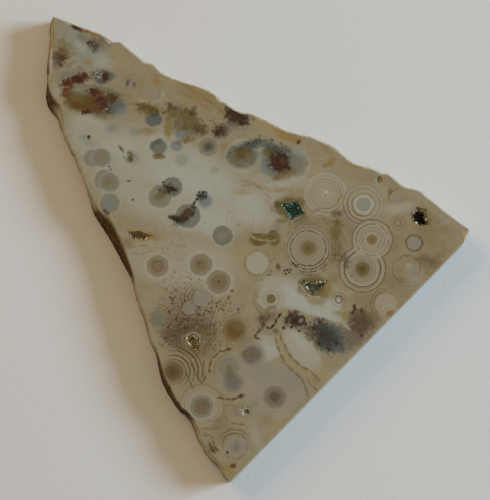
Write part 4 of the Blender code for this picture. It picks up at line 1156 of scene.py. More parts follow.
# Orbs, veins and marks of the lower half
LOWER_ORBS = (
    pale_orb((-1.1, -25.9), 3.2, DOVE, 0.75),
    Orb((-1.1, -25.9), ((0.0, BROWN, 0.9), (0.7, LILAC, 0.9), (1.7, LILAC, 0.85), (2.3, SMOKE, 0.7),
        (2.8, SMOKE, 0.0))),
    Rings(MOLE, (-1.1, -25.9), (0.8, 1.5), 0.3, 0.28),
    Cloud(OLIVE, (-2.9, -25.6), 1.2, 1.2, 0, 0.7, 0.9),
    Rings(FAWN, (-1.1, -25.9), (3.2, 3.9), 0.4, 0.3, windows=(Window((-2.5, -23.1), 2.8, 1.5),)),
    pale_orb((-5.9, -30.7), 4.2, PUTTY, 0.85),
    Rings(FAWN, (-6.3, -29.5), (3.1, 3.7), 0.6, 0.27, windows=(Window((-8.0, -27.9), 3.2, 1.5),)),
    Orb((-6.4, -28.9), ((0.0, OLIVE, 0.75), (1.2, SMOKE, 0.85), (2.2, SMOKE, 0.8),
        (2.6, SMOKE, 0.0))),
    Orb((-5.5, -32.1), ((0.0, LILAC, 0.95), (1.2, DUSK, 0.9), (2.0, SMOKE, 0.85),
        (2.7, SMOKE, 0.0))),
    Cloud(OLIVE, (-6.3, -30.2), 1.4, 1.8, -10, 0.85, 0.9, 0.3),
    pale_orb((-12.6, -37.7), 4.4, CREAM, 0.85),
    Rings(FAWN, (-12.6, -37.7), (3.2, 3.9, 5.1), 0.45, 0.3),
    grey_orb((-12.6, -37.7), 2.6, FAWN, SMOKE, 0.97),
    Cloud(DUSK, (-12.1, -37.1), 1.8, 1.8, 0, 0.5, 0.9),
    Rings(UMBER, (-12.6, -37.7), (0.81, 1.6), 0.35, 0.3),
    pale_orb((6.4, -33.7), 5.5, DOVE, 0.5),
    Orb((4.1, -35.5), ((0.0, MOLE, 0.95), (0.7, MOLE, 0.9), (1.5, LILAC, 0.9), (2.1, LILAC, 0.7),
        (3.0, LILAC, 0.0))),
    Rings(PLUM, (4.1, -35.5), (0.81,), 0.4, 0.3),
    Cloud(DOVE, (7.8, -31.8), 3.0, 3.0, 0, 0.8, 0.5),
    pale_orb((1.2, -29.8), 3.0, DOVE, 0.7),
    Rings(PUTTY, (4.4, -35.5), (3.5, 4.4), 0.6, 0.4),
    pale_orb((-4.8, -46.7), 2.5, DOVE, 0.7),
    Rings(BROWN, (-5.0, -46.8), (3.1, 3.9), 0.75, 0.28, windows=(Window((-5.2, -43.7), 3.2, 1.5),)),
    Rings(BROWN, (-5.0, -46.8), (2.8,), 0.5, 0.3, grain=Grain.BROKEN),
    Cloud(DUSK, (-4.8, -46.9), 1.6, 1.8, 0, 0.65, 0.9, 0.4),
    Dots(BLACK, ((-6.8, -48.1),), 0.46, 0.97),
    Cloud(RUST, (-5.4, -51.2), 1.0, 0.83, 30, 0.95, 0.7, 0.3),
    Cloud(GOLD, (-6.3, -52.4), 1.8, 1.4, -20, 0.7, 0.8, 0.5),
    Cloud(GOLD, (-7.0, -51.7), 3.0, 1.4, -40, 0.5, 0.9),
    Vein(BROWN, ((-11.1, -45.6), (-10.4, -47.1), (-9.5, -48.5)), 0.37, 0.85),
    Vein(BROWN, ((-10.0, -45.3), (-9.8, -46.7), (-8.6, -48.0)), 0.35, 0.8),
    Vein(BROWN, ((-12.0, -44.4), (-10.9, -44.2), (-9.8, -44.9)), 0.32, 0.6),
    Cloud(UMBER, (-10.2, -47.4), 1.8, 1.4, -50, 0.6, 0.8, 0.8),
    Vein(BROWN, ((-9.1, -35.5), (-7.3, -36.0), (-5.9, -36.2), (-4.3, -35.7), (-3.2, -35.1)), 0.39,
        0.95),
    Cloud(UMBER, (-3.6, -35.3), 1.2, 0.69, 20, 0.85, 0.7),
    Vein(FAWN, ((-7.5, -37.6), (-6.1, -37.3), (-4.5, -37.8)), 0.35, 0.7),
    Vein(FAWN, ((-7.5, -39.9), (-6.6, -40.8), (-7.0, -42.1)), 0.32, 0.6),
    Vein(MOLE, ((-5.7, -41.5), (-4.3, -41.7), (-2.7, -41.7)), 0.35, 0.7),
    Vein(FAWN, ((-12.3, -42.4), (-10.2, -43.0), (-8.6, -42.1)), 0.35, 0.7),
    Vein(FAWN, ((-11.8, -40.5), (-10.0, -41.2), (-8.6, -40.3)), 0.3, 0.5),
    Cloud(FAWN, (-11.1, -44.4), 3.2, 1.4, -40, 0.6, 0.8, grain=Grain.MOTTLE),
    Cloud(SMOKE, (-3.4, -38.5), 3.0, 1.8, 10, 0.8, 0.7, 0.3),
    Cloud(OLIVE, (-2.7, -38.7), 1.6, 1.2, 0, 0.7, 0.7, 0.6),
    Cloud(CHALK, (-2.9, -38.7), 1.7, 1.3, 0, 0.85, 0.6, grain=Grain.CRUMBS),
    Cloud(BLACK, (-2.7, -38.7), 1.8, 1.4, 0, 0.9, 0.6, grain=Grain.FLECKS),
    Cloud(COFFEE, (-2.3, -38.7), 0.92, 0.69, -40, 0.8, 0.7, 0.7),
    Cloud(FAWN, (-0.4, -36.7), 1.6, 1.8, 0, 0.55, 0.8, grain=Grain.MOTTLE),
    Cloud(FAWN, (2.5, -40.8), 2.5, 2.3, 0, 0.35, 0.9),
    # The forked vein: two brown border lines round a cream core
    Vein(SAND, ((4.6, -21.5), (5.5, -24.2), (7.1, -27.0), (9.0, -28.9), (11.0, -30.2),
        (12.6, -31.6)), 0.69, 0.85, 0.6),
    Vein(FAWN, ((5.3, -21.0), (6.0, -22.9), (6.9, -24.9), (8.3, -26.8), (9.9, -28.4), (12.2, -29.5),
        (14.7, -32.1)), 0.42, 0.9),
    Vein(FAWN, ((4.2, -21.9), (4.6, -23.5), (5.3, -25.4), (6.4, -27.7), (8.5, -29.8),
        (10.1, -31.2)), 0.42, 0.9),
    Vein(FAWN, ((10.1, -31.2), (11.0, -33.2), (11.9, -36.0)), 0.39, 0.8),
    Vein(FAWN, ((11.2, -30.9), (12.6, -33.0), (14.0, -34.1)), 0.37, 0.7),
    Vein(LILAC, ((9.9, -30.2), (11.0, -32.5), (11.7, -34.6)), 0.37, 0.4),
    Cloud(HONEY, (13.5, -31.8), 1.8, 0.69, -40, 0.7, 0.7, 0.4),
    Cloud(MOLE, (4.4, -20.3), 1.0, 1.4, 20, 0.75, 0.9, 0.4),
)

# The faint unevenness that lies over all the other marks
BLOOM = (
    Wash(FAWN, 0.06, Grain.GRIT),
    Wash(DRAB, 0.04, Grain.MOTTLE),
    Wash(BROWN, 0.06, Grain.FLECKS),
)

# All the marks in the order they are laid
PATTERN: tuple[Mark, ...] = (
    *GROUND, *TIP_STAINS, *UPPER_BAND, *DARK_PAIR, *MILK_ORBS, *RINGED_ORBS, *CENTRE_MARKS,
    *LOWER_FIELD, *LOWER_ORBS, *BLOOM)


# Finishes

# How strongly chalcedony and clear quartz bend light
QUARTZ_IOR = 1.54
CRYSTAL_IOR = 1.55


@dataclass(frozen=True)
class Region:
    """A square of the stone that has a material of its own, by its column and its row."""

    column: int
    row: int
    size: float = 26.0
    margin: float = 5.5

    def holds(self, mark: Mark) -> bool:
        """Tell whether a mark reaches the square, give or take the size of a face and the drift."""
        low = (self.column * self.size, self.row * self.size)
        for place, radius in mark.discs():
            aside = [max(edge - at, at - edge - self.size, 0.0) for edge, at in zip(low, place)]
            if math.hypot(*aside) < radius + self.margin:
                return True
        return False


@dataclass(frozen=True)
class StoneFinish:
    """Polished chalcedony: the painted pattern, glossy on the face, rough on the natural sides."""

    slot: str = "polished_jasper"
    polish: float = 0.16
    sawn_roughness: float = 0.42
    rind_roughness: float = 0.8
    rind_shine: float = 0.15
    marks_per_group: int = 22
    depth_share: float = 0.6
    drift: float = 1.6
    drift_scale: float = 0.13
    waver: float = 0.3
    waver_scale: float = 0.7

    def build(self, region: Region) -> bpy.types.Material:
        """Make the material of one region.

        Args:
            region: the square of the stone that wears it.

        Returns:
            The material, whose pattern is a chain of node groups with a few dozen marks each. It
            holds only the marks that reach the region, which makes it quick to render.
        """
        material, graph, shader = new_material(f"{self.slot}_look_{region.column}_{region.row}")
        shader.inputs["IOR"].default_value = QUARTZ_IOR
        point = graph.scale(graph.node("ShaderNodeTexCoord", output="Object"), 1.0 / MM)
        split = graph.node("ShaderNodeSeparateXYZ", {}, {0: point}, "X")
        depth = THICKNESS - split.out("Z")
        flat = graph.node("ShaderNodeCombineXYZ", {}, {
            "X": split, "Y": split.out("Y"), "Z": depth * self.depth_share})
        given = {
            "Near": self._shift(graph, flat, point, self.waver_scale, self.waver),
            "Far": self._shift(graph, flat, point, self.drift_scale, self.drift),
            **self._grains(graph, point)}
        colour = self._lay_pattern(graph, given, region)
        side = depth.fade(0.03, 0.3)
        reach = split * SAWN_NORMAL[0] + split.out("Y") * SAWN_NORMAL[1]
        sawn = abs(reach - SAWN_REACH).fade(0.7, 0.4)
        outer = graph.node("ShaderNodeAttribute", {"attribute_name": "outer"}, output="Fac")
        rind = side * outer * (1.0 - sawn) * (1.0 - (depth - THICKNESS + 0.05).fade(0.0, 0.04))
        colour.to(shader.inputs["Base Color"])
        rough = self.polish + side * (self.sawn_roughness - self.polish)
        rough.to(shader.inputs["Roughness"])
        bump = graph.node("ShaderNodeBump", {}, {
            "Strength": 0.8, "Distance": 0.0002, "Height": graph.noise(point, 2.2, 4.0, 0.65)})
        shell = graph.node("ShaderNodeBsdfPrincipled", {}, {
            "Base Color": self._rind_colour(graph, split, point, depth),
            "Roughness": self.rind_roughness, "Specular IOR Level": self.rind_shine,
            "Normal": bump})
        both = graph.node("ShaderNodeMixShader", {}, {
            0: rind, 1: Field(graph, shader.outputs["BSDF"]), 2: shell})
        both.to(material.node_tree.nodes["Material Output"].inputs["Surface"])
        return material

    @staticmethod
    def _shift(graph: Graph, flat: Field, point: Field, scale: float, amount: float) -> Field:
        """Move a point by noise of one scale, so that what is laid by it wanders."""
        away = graph.vector("SUBTRACT", graph.noise(point, scale, 2.0, 0.5, "Color"),
                            (0.5, 0.5, 0.5))
        return graph.vector("ADD", flat, graph.scale(away, 2.0 * amount))

    @staticmethod
    def _grains(graph: Graph, point: Field) -> dict[str, Field]:
        """Make the shared textures: one that frays edges, -1.5 to 1.5, and covers, 0 to 1."""
        worms = abs(graph.noise(point, 0.85, 1.0, 0.5) - 0.5)
        broken = graph.noise(point, 0.8, 1.0, 0.5).fade(0.42, 0.52)
        return {
            "Fray": (graph.noise(point, 1.0, 4.0, 0.62) - 0.5) * 3.0,
            "Mottle": graph.noise(point, 0.55, 3.0, 0.6).fade(0.36, 0.64),
            "Grit": graph.noise(point, 2.2, 3.0, 0.55).fade(0.35, 0.65),
            "Flecks": graph.noise(point, 1.35, 2.0, 0.5).fade(0.57, 0.66),
            "Crumbs": graph.noise(point, 3.0, 2.0, 0.6).fade(0.49, 0.57),
            "Worms": worms.fade(0.05, 0.012) * broken,
            "Dashes": abs(graph.noise(point, 1.15, 1.5, 0.5) - 0.5).fade(0.055, 0.018)
                      * graph.noise(point, 1.0, 1.0, 0.5).fade(0.48, 0.56),
            "Broken": broken}

    def _lay_pattern(self, graph: Graph, given: dict[str, Field], region: Region) -> Field:
        """Lay a region's marks over the plain ground, a node group for every few dozen."""
        colour = graph.node("ShaderNodeRGB")
        colour.socket.default_value = reflectance(BISQUE)
        marks = [mark for mark in PATTERN if region.holds(mark)]
        for start in range(0, len(marks), self.marks_per_group):
            layer = Layer("marks")
            for mark in marks[start:start + self.marks_per_group]:
                mark.paint(layer)
            layer.close()
            colour = graph.node("ShaderNodeGroup", {"node_tree": layer.tree},
                                {"Colour": colour, **given})
            for point in Layer.POINTS:
                given[point] = self._after(graph, colour, given[point])
        return colour

    @staticmethod
    def _after(graph: Graph, colour: Field, point: Field) -> Field:
        """Make a point wait for a colour, by adding a trace of it.

        The renderer keeps every cover whose point is known. Without the wait it would keep those of
        all the marks together, more than it has room for.
        """
        return graph.node("ShaderNodeVectorMath", {"operation": "MULTIPLY_ADD"}, {
            0: colour, 1: (TRACE, TRACE, TRACE), 2: point})

    @staticmethod
    def _rind_colour(graph: Graph, split: Field, point: Field, depth: Field) -> Field:
        """Colour the natural sides: a thin cream skin, with brown rind in stretches of the left; on
        the left both grow darker towards the foot.
        """
        normal = graph.node("ShaderNodeNewGeometry", output="Normal")
        left = graph.node("ShaderNodeSeparateXYZ", {}, {0: normal}, "X").fade(0.3, -0.2)
        along = split.out("Y")
        patch = graph.noise(point, 0.5, 4.0, 0.6)
        skin = graph.blend(patch.fade(0.48, 0.64) * 0.6, reflectance(CREAM, 1.1),
                           reflectance(FAWN))
        skin = graph.blend(left * depth.fade(1.4, 3.4) * 0.7, skin, reflectance(UMBER))
        brown = 0.0
        for low, high in RIND_STRETCHES:
            brown = brown + along.fade(high + 1.5, high - 1.5) * along.fade(low - 1.5, low + 1.5)
        brown = brown * left
        crust = graph.blend(depth.fade(0.8, 3.6), reflectance(UMBER),
                            reflectance(COFFEE, 0.35))
        crust = graph.blend(graph.noise(point, 1.0, 3.0, 0.6).fade(0.5, 0.6) * 0.85, crust,
                            reflectance(AMBER, 1.1))
        crust = graph.blend(graph.noise(point, 1.6, 3.0, 0.6).fade(0.5, 0.62) * 0.7, crust,
                            reflectance(BLACK))
        return graph.blend(brown * 0.95, skin, crust)


@dataclass(frozen=True)
class CrystalFinish:
    """Small quartz points: glassy, each with a shade of its own; the palest stand for white quartz
    and painted glints, and painted shade darkens them towards the floor.
    """

    slot: str
    deep: Tone
    body: Tone
    white_and_glint: Tone
    gain: float = 1.0
    painted_floor_shade: float = 0.35
    roughness: float = 0.12

    def build(self, top: float, floor: float) -> bpy.types.Material:
        """Make the material.

        Args:
            top: the height of the highest crystals.
            floor: the height of the hollow's floor.

        Returns:
            The material.
        """
        material, graph, shader = new_material(f"{self.slot}_look")
        shader.inputs["IOR"].default_value = CRYSTAL_IOR
        shader.inputs["Roughness"].default_value = self.roughness
        point = graph.node("ShaderNodeTexCoord", output="Object")
        height = graph.node("ShaderNodeSeparateXYZ", {}, {0: point}, "Z") * (1.0 / MM)
        shade = graph.node("ShaderNodeAttribute", {"attribute_name": "shade"}, output="Fac")
        colour = graph.blend(shade.fade(0.0, 0.7), reflectance(self.deep, self.gain),
                             reflectance(self.body, self.gain))
        # The palest points are white quartz and painted glints.
        colour = graph.blend(shade.fade(0.7, 0.92), colour, reflectance(self.white_and_glint, self.gain))
        # Painted shade: the points turn black towards the hollow's floor, where the hollow lies in
        # shade.
        colour = graph.blend(height.fade(top, floor, self.painted_floor_shade), colour, reflectance(BLACK))
        colour.to(shader.inputs["Base Color"])
        return material


# Shapes

# The seeds of the sides' relief, the rim's nicks, the hollows' walls and the crusts' sheets
SIDE_SEED, NICK_SEED, WALL_SEED, SHEET_SEED = 11, 31, 53, 71
# A face whose normal's height is above this is level, and stays flat
LEVEL = 0.999


def ray_wall(tree: BVHTree, centre: Place, angles: np.ndarray, heights: np.ndarray,
             start: float) -> np.ndarray:
    """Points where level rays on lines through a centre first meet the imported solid.

    Args:
        tree: the solid.
        centre: the place that every ray's line passes through.
        angles: the rays' bearings.
        heights: the rays' heights.
        start: the distance from the centre at which a ray starts. From 0 it runs outwards, and
            from further out it runs inwards.

    Returns:
        Points, heights by angles by three.
    """
    inward = -1.0 if start else 1.0
    rows = []
    for height in heights:
        row = []
        for angle in angles:
            ahead = Vector((math.cos(angle), math.sin(angle), 0.0))
            origin = Vector((centre[0], centre[1], height)) + ahead * start
            hit = tree.ray_cast(origin * MM, ahead * inward)[0]
            row.append(hit / MM if hit else origin)
        rows.append(row)
    return np.array(rows, float)


def even_angles(tree: BVHTree, centre: Place, height: float, start: float,
                count: int) -> np.ndarray:
    """Bearings that space points evenly along a solid's outline at one height."""
    dense = np.linspace(0.0, 2.0 * math.pi, 14 * count, endpoint=False)
    outline = ray_wall(tree, centre, dense, np.array([height]), start)[0]
    steps = np.linalg.norm(np.roll(outline, -1, axis=0) - outline, axis=1)
    along = np.concatenate(([0.0], np.cumsum(steps)))
    wanted = np.linspace(0.0, along[-1], count, endpoint=False)
    return np.interp(wanted, along, np.append(dense, 2.0 * math.pi))


def outward(row: np.ndarray) -> np.ndarray:
    """Level unit normals of a closed outline that runs anticlockwise."""
    along = np.roll(row, -1, axis=0) - np.roll(row, 1, axis=0)
    normals = np.stack([along[:, 1], -along[:, 0], np.zeros(len(row))], axis=1)
    return normals / np.maximum(np.linalg.norm(normals, axis=1, keepdims=True), 1e-9)


def band_faces(rows: int, columns: int, first: int = 0) -> np.ndarray:
    """Quads of a closed band of rows of points, facing out when the rows rise."""
    row, column = np.meshgrid(np.arange(rows - 1), np.arange(columns), indexing="ij")
    after = (column + 1) % columns
    corners = [row * columns + column, row * columns + after,
               (row + 1) * columns + after, (row + 1) * columns + column]
    return first + np.stack(corners, axis=-1).reshape(-1, 4)


def make_piece(name: str, points: np.ndarray, faces: list[list[int]],
               sharp: float) -> bpy.types.Object:
    """Make an object at the origin from points in millimetres.

    Args:
        name: the object's name.
        points: its points, one to a row.
        faces: the numbers of each face's points.
        sharp: the angle in degrees above which an edge stays sharp.

    Returns:
        The object.
    """
    mesh = bpy.data.meshes.new(name)
    mesh.from_pydata((points * MM).tolist(), [], faces)
    mesh.shade_smooth()
    mesh.set_sharp_from_angle(angle=math.radians(sharp))
    for face in mesh.polygons:
        face.use_smooth = abs(face.normal.z) < LEVEL
    return show(name, mesh)


# Brown rind covers the left side over these stretches of Y
RIND_STRETCHES = ((32.5, 42.5), (-8.0, 8.5), (-41.0, -25.0))

# The straight sawn side: its outward direction and its distance from the origin along it
SAWN_ENDS = ((47.9, 0.3), (-4.4, -53.1))
SAWN_RUN = (SAWN_ENDS[1][0] - SAWN_ENDS[0][0], SAWN_ENDS[1][1] - SAWN_ENDS[0][1])
SAWN_LENGTH = math.hypot(*SAWN_RUN)
SAWN_NORMAL = (-SAWN_RUN[1] / SAWN_LENGTH, SAWN_RUN[0] / SAWN_LENGTH)
SAWN_REACH = SAWN_NORMAL[0] * SAWN_ENDS[0][0] + SAWN_NORMAL[1] * SAWN_ENDS[0][1]


@dataclass(frozen=True)
class Cavity:
    """A place where the polished face opens: its middle and the depth of its floor."""

    at: Place
    floor: float
    columns: int = 64
    rows: int = 7
    relief: float = 0.1


@dataclass
class Slab:
    """The stone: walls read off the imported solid, with fine relief, a flat face and a flat foot."""

    node: str = SLAB_NODE
    middle: Place = (-8.0, 2.0)
    columns: int = 1180
    start: float = 120.0
    skin: float = 0.03
    relief: float = 0.26
    relief_size: float = 2.6
    lip: float = 0.14
    nick_size: float = 1.1
    cup_relief_size: float = 0.9
    rim_zone: Place = (4.2, 5.0)
    foot_zone: Place = (0.5, 0.0)
    sawn_zone: Place = (0.15, 0.8)
    pit_zone: Place = (1.3, 2.6)
    outline_height: float = 4.5
    spacing: float = 4.0
    heights: tuple[float, ...] = (0.0, 0.1, 0.25, 0.5, 0.8, 1.15, 1.5, 1.85, 2.2, 2.55, 2.9, 3.25,
                                  3.6, 3.9, 4.2, 4.45, 4.65, 4.8, 4.92, 5.0)
    finish: StoneFinish = field(default_factory=StoneFinish)

    def __post_init__(self) -> None:
        """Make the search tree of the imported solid."""
        solid = bmesh.new()
        solid.from_mesh(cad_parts[self.node].data)
        bmesh.ops.remove_doubles(solid, verts=solid.verts, dist=1e-6)
        self.tree = BVHTree.FromBMesh(solid)
        solid.free()

    def wall(self) -> np.ndarray:
        """The outer wall, heights by columns by three.

        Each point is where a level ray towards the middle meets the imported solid, moved outwards
        along the outline's normal by rough noise. The noise is full on the natural sides, nearly
        none on the sawn one, and small at the polished rim, which is nicked instead.
        """
        heights = np.array(self.heights)
        angles = even_angles(self.tree, self.middle, self.outline_height, self.start, self.columns)
        inside = np.clip(heights, self.skin, THICKNESS - self.skin)
        wall = ray_wall(self.tree, self.middle, angles, inside, self.start)
        wall[:, :, 2] = heights[:, None]
        natural = smooth_step(*self.sawn_zone, np.abs(
            wall[:, :, 0] * SAWN_NORMAL[0] + wall[:, :, 1] * SAWN_NORMAL[1] - SAWN_REACH))
        for pit in PITS:
            away = np.linalg.norm(wall[:, :, :2] - np.array(pit.at), axis=2)
            natural = natural * smooth_step(*self.pit_zone, away)
        for number, row in enumerate(wall):
            push = self.relief * rough_noise(row, self.relief_size, 4, SIDE_SEED)
            rim = smooth_step(*self.rim_zone, heights[number:number + 1])[0]
            foot = smooth_step(*self.foot_zone, heights[number:number + 1])[0]
            push = push * (1.0 - 0.75 * rim) * (1.0 - 0.8 * foot)
            nicks = rough_noise(row * (1.0, 1.0, 0.0), self.nick_size, 3, NICK_SEED)
            nick = self.lip * np.clip(nicks - 0.1, 0.0, 1.0)
            push = (push - 3.0 * nick * rim) * (0.05 + 0.95 * natural[number])
            row += outward(row) * push[:, None]
        return wall

    def cup(self, cavity: Cavity) -> np.ndarray:
        """The wall of a cavity, from its mouth down, heights by columns by three.

        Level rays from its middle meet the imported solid. The wall is moved by fine rough noise,
        and each row closes in a little on the one above, so that it never overhangs.
        """
        angles = even_angles(self.tree, cavity.at, THICKNESS - 0.1, 0.0, cavity.columns)
        heights = np.linspace(THICKNESS, cavity.floor, cavity.rows)
        inside = np.clip(heights, cavity.floor + 0.08, THICKNESS - self.skin)
        cup = ray_wall(self.tree, cavity.at, angles, inside, 0.0)
        cup[:, :, 2] = heights[:, None]
        for row in cup:
            push = cavity.relief * rough_noise(row, self.cup_relief_size, 3, WALL_SEED)
            row += outward(row) * push[:, None]
        return cup

    def inner_points(self, outline: np.ndarray, mouths: list[np.ndarray]) -> np.ndarray:
        """Points on an even grid inside a level face, clear of the mouths of its cavities."""
        low, high = outline[:, :2].min(axis=0), outline[:, :2].max(axis=0)
        across, along = np.meshgrid(np.arange(low[0], high[0], self.spacing),
                                    np.arange(low[1], high[1], self.spacing))
        places = [place for place in zip(across.ravel(), along.ravel())
                  if inside_ring(place, outline)
                  and not any(inside_ring(place, ring) for ring in mouths)]
        return np.array([(x, y, outline[0, 2]) for x, y in places])

    def face_triangles(self, outline: np.ndarray, mouths: list[np.ndarray], inner: np.ndarray,
                       first: list[int]) -> list[list[int]]:
        """Fill the level face between its outline and the mouths of its cavities.

        Args:
            outline: the outer ring.
            mouths: the inner rings.
            inner: points between them.
            first: the number of the first point of the outline, of each mouth and of the inner
                points, in the whole mesh.

        Returns:
            Triangles that face up.
        """
        rings = [outline, *mouths]
        sets = [*rings, inner]
        flat = np.concatenate(sets)[:, :2]
        numbers = np.concatenate([start + np.arange(len(some)) for start, some in zip(first, sets)])
        edges = []
        at = 0
        for ring in rings:
            edges += [(at + k, at + (k + 1) % len(ring)) for k in range(len(ring))]
            at += len(ring)
        points, _, triangles, origins, _, _ = delaunay_2d_cdt(
            [Vector(place) for place in flat.tolist()], edges, [], 1, 1e-7)
        places = np.array([tuple(point) for point in points])
        kept = []
        for triangle in triangles:
            centre = places[triangle].mean(axis=0)
            if any(inside_ring(centre, mouth) for mouth in mouths):
                continue
            (a, b, c) = (places[corner] for corner in triangle)
            turn = (b[0] - a[0]) * (c[1] - a[1]) - (b[1] - a[1]) * (c[0] - a[0])
            order = triangle if turn > 0 else triangle[::-1]
            kept.append([int(numbers[origins[corner][0]]) for corner in order])
        return kept

    def build(self, cavities: list[Cavity]) -> bpy.types.Object:
        """Build the slab's piece.

        Args:
            cavities: the places where its polished face opens.

        Returns:
            The piece.
        """
        wall = self.wall()
        rows, columns = wall.shape[:2]
        points = [wall.reshape(-1, 3)]
        faces = band_faces(rows, columns).tolist()
        count = rows * columns
        mouths, first = [], [(rows - 1) * columns]
        for cavity in cavities:
            cup = self.cup(cavity)
            mouths.append(cup[0])
            first.append(count)
            floor = np.array([[*cavity.at, cavity.floor - 0.05]])
            points += [cup.reshape(-1, 3), floor]
            faces += band_faces(cavity.rows, cavity.columns, count).tolist()
            last = count + (cavity.rows - 1) * cavity.columns
            pole = count + cavity.rows * cavity.columns
            faces += [[last + k, last + (k + 1) % cavity.columns, pole]
                      for k in range(cavity.columns)]
            count = pole + 1
        inner = self.inner_points(wall[-1], mouths)
        faces += self.face_triangles(wall[-1], mouths, inner, [*first, count])
        under = self.inner_points(wall[0], [])
        foot = self.face_triangles(wall[0], [], under, [0, count + len(inner)])
        faces += [face[::-1] for face in foot]
        points = np.concatenate([*points, inner, under])
        piece = make_piece("jasper_slab_stone", points, faces, sharp=40.0)
        outer = piece.data.attributes.new("outer", "FLOAT", "POINT")
        outer.data.foreach_set("value", (np.arange(len(points)) < rows * columns).astype(float))
        self._dress(piece.data)
        return piece

    def _dress(self, mesh: bpy.types.Mesh) -> None:
        """Give each face the material of the region that its middle is in."""
        middles = np.array([face.center[:2] for face in mesh.polygons]) / MM
        squares = np.floor(middles / Region.size).astype(int)
        kept, slots = np.unique(squares, axis=0, return_inverse=True)
        for column, row in kept.tolist():
            mesh.materials.append(self.finish.build(Region(column, row)))
        mesh.polygons.foreach_set("material_index", slots.ravel())


def inside_ring(place: Place, ring: np.ndarray) -> bool:
    """Tell whether a place is inside a closed ring, by counting the edges to its right."""
    ahead = np.roll(ring, -1, axis=0)
    spans = (ring[:, 1] > place[1]) != (ahead[:, 1] > place[1])
    rise = np.where(spans, ahead[:, 1] - ring[:, 1], 1.0)
    cross = ring[:, 0] + (place[1] - ring[:, 1]) * (ahead[:, 0] - ring[:, 0]) / rise
    return bool(np.count_nonzero(spans & (place[0] < cross)) % 2)


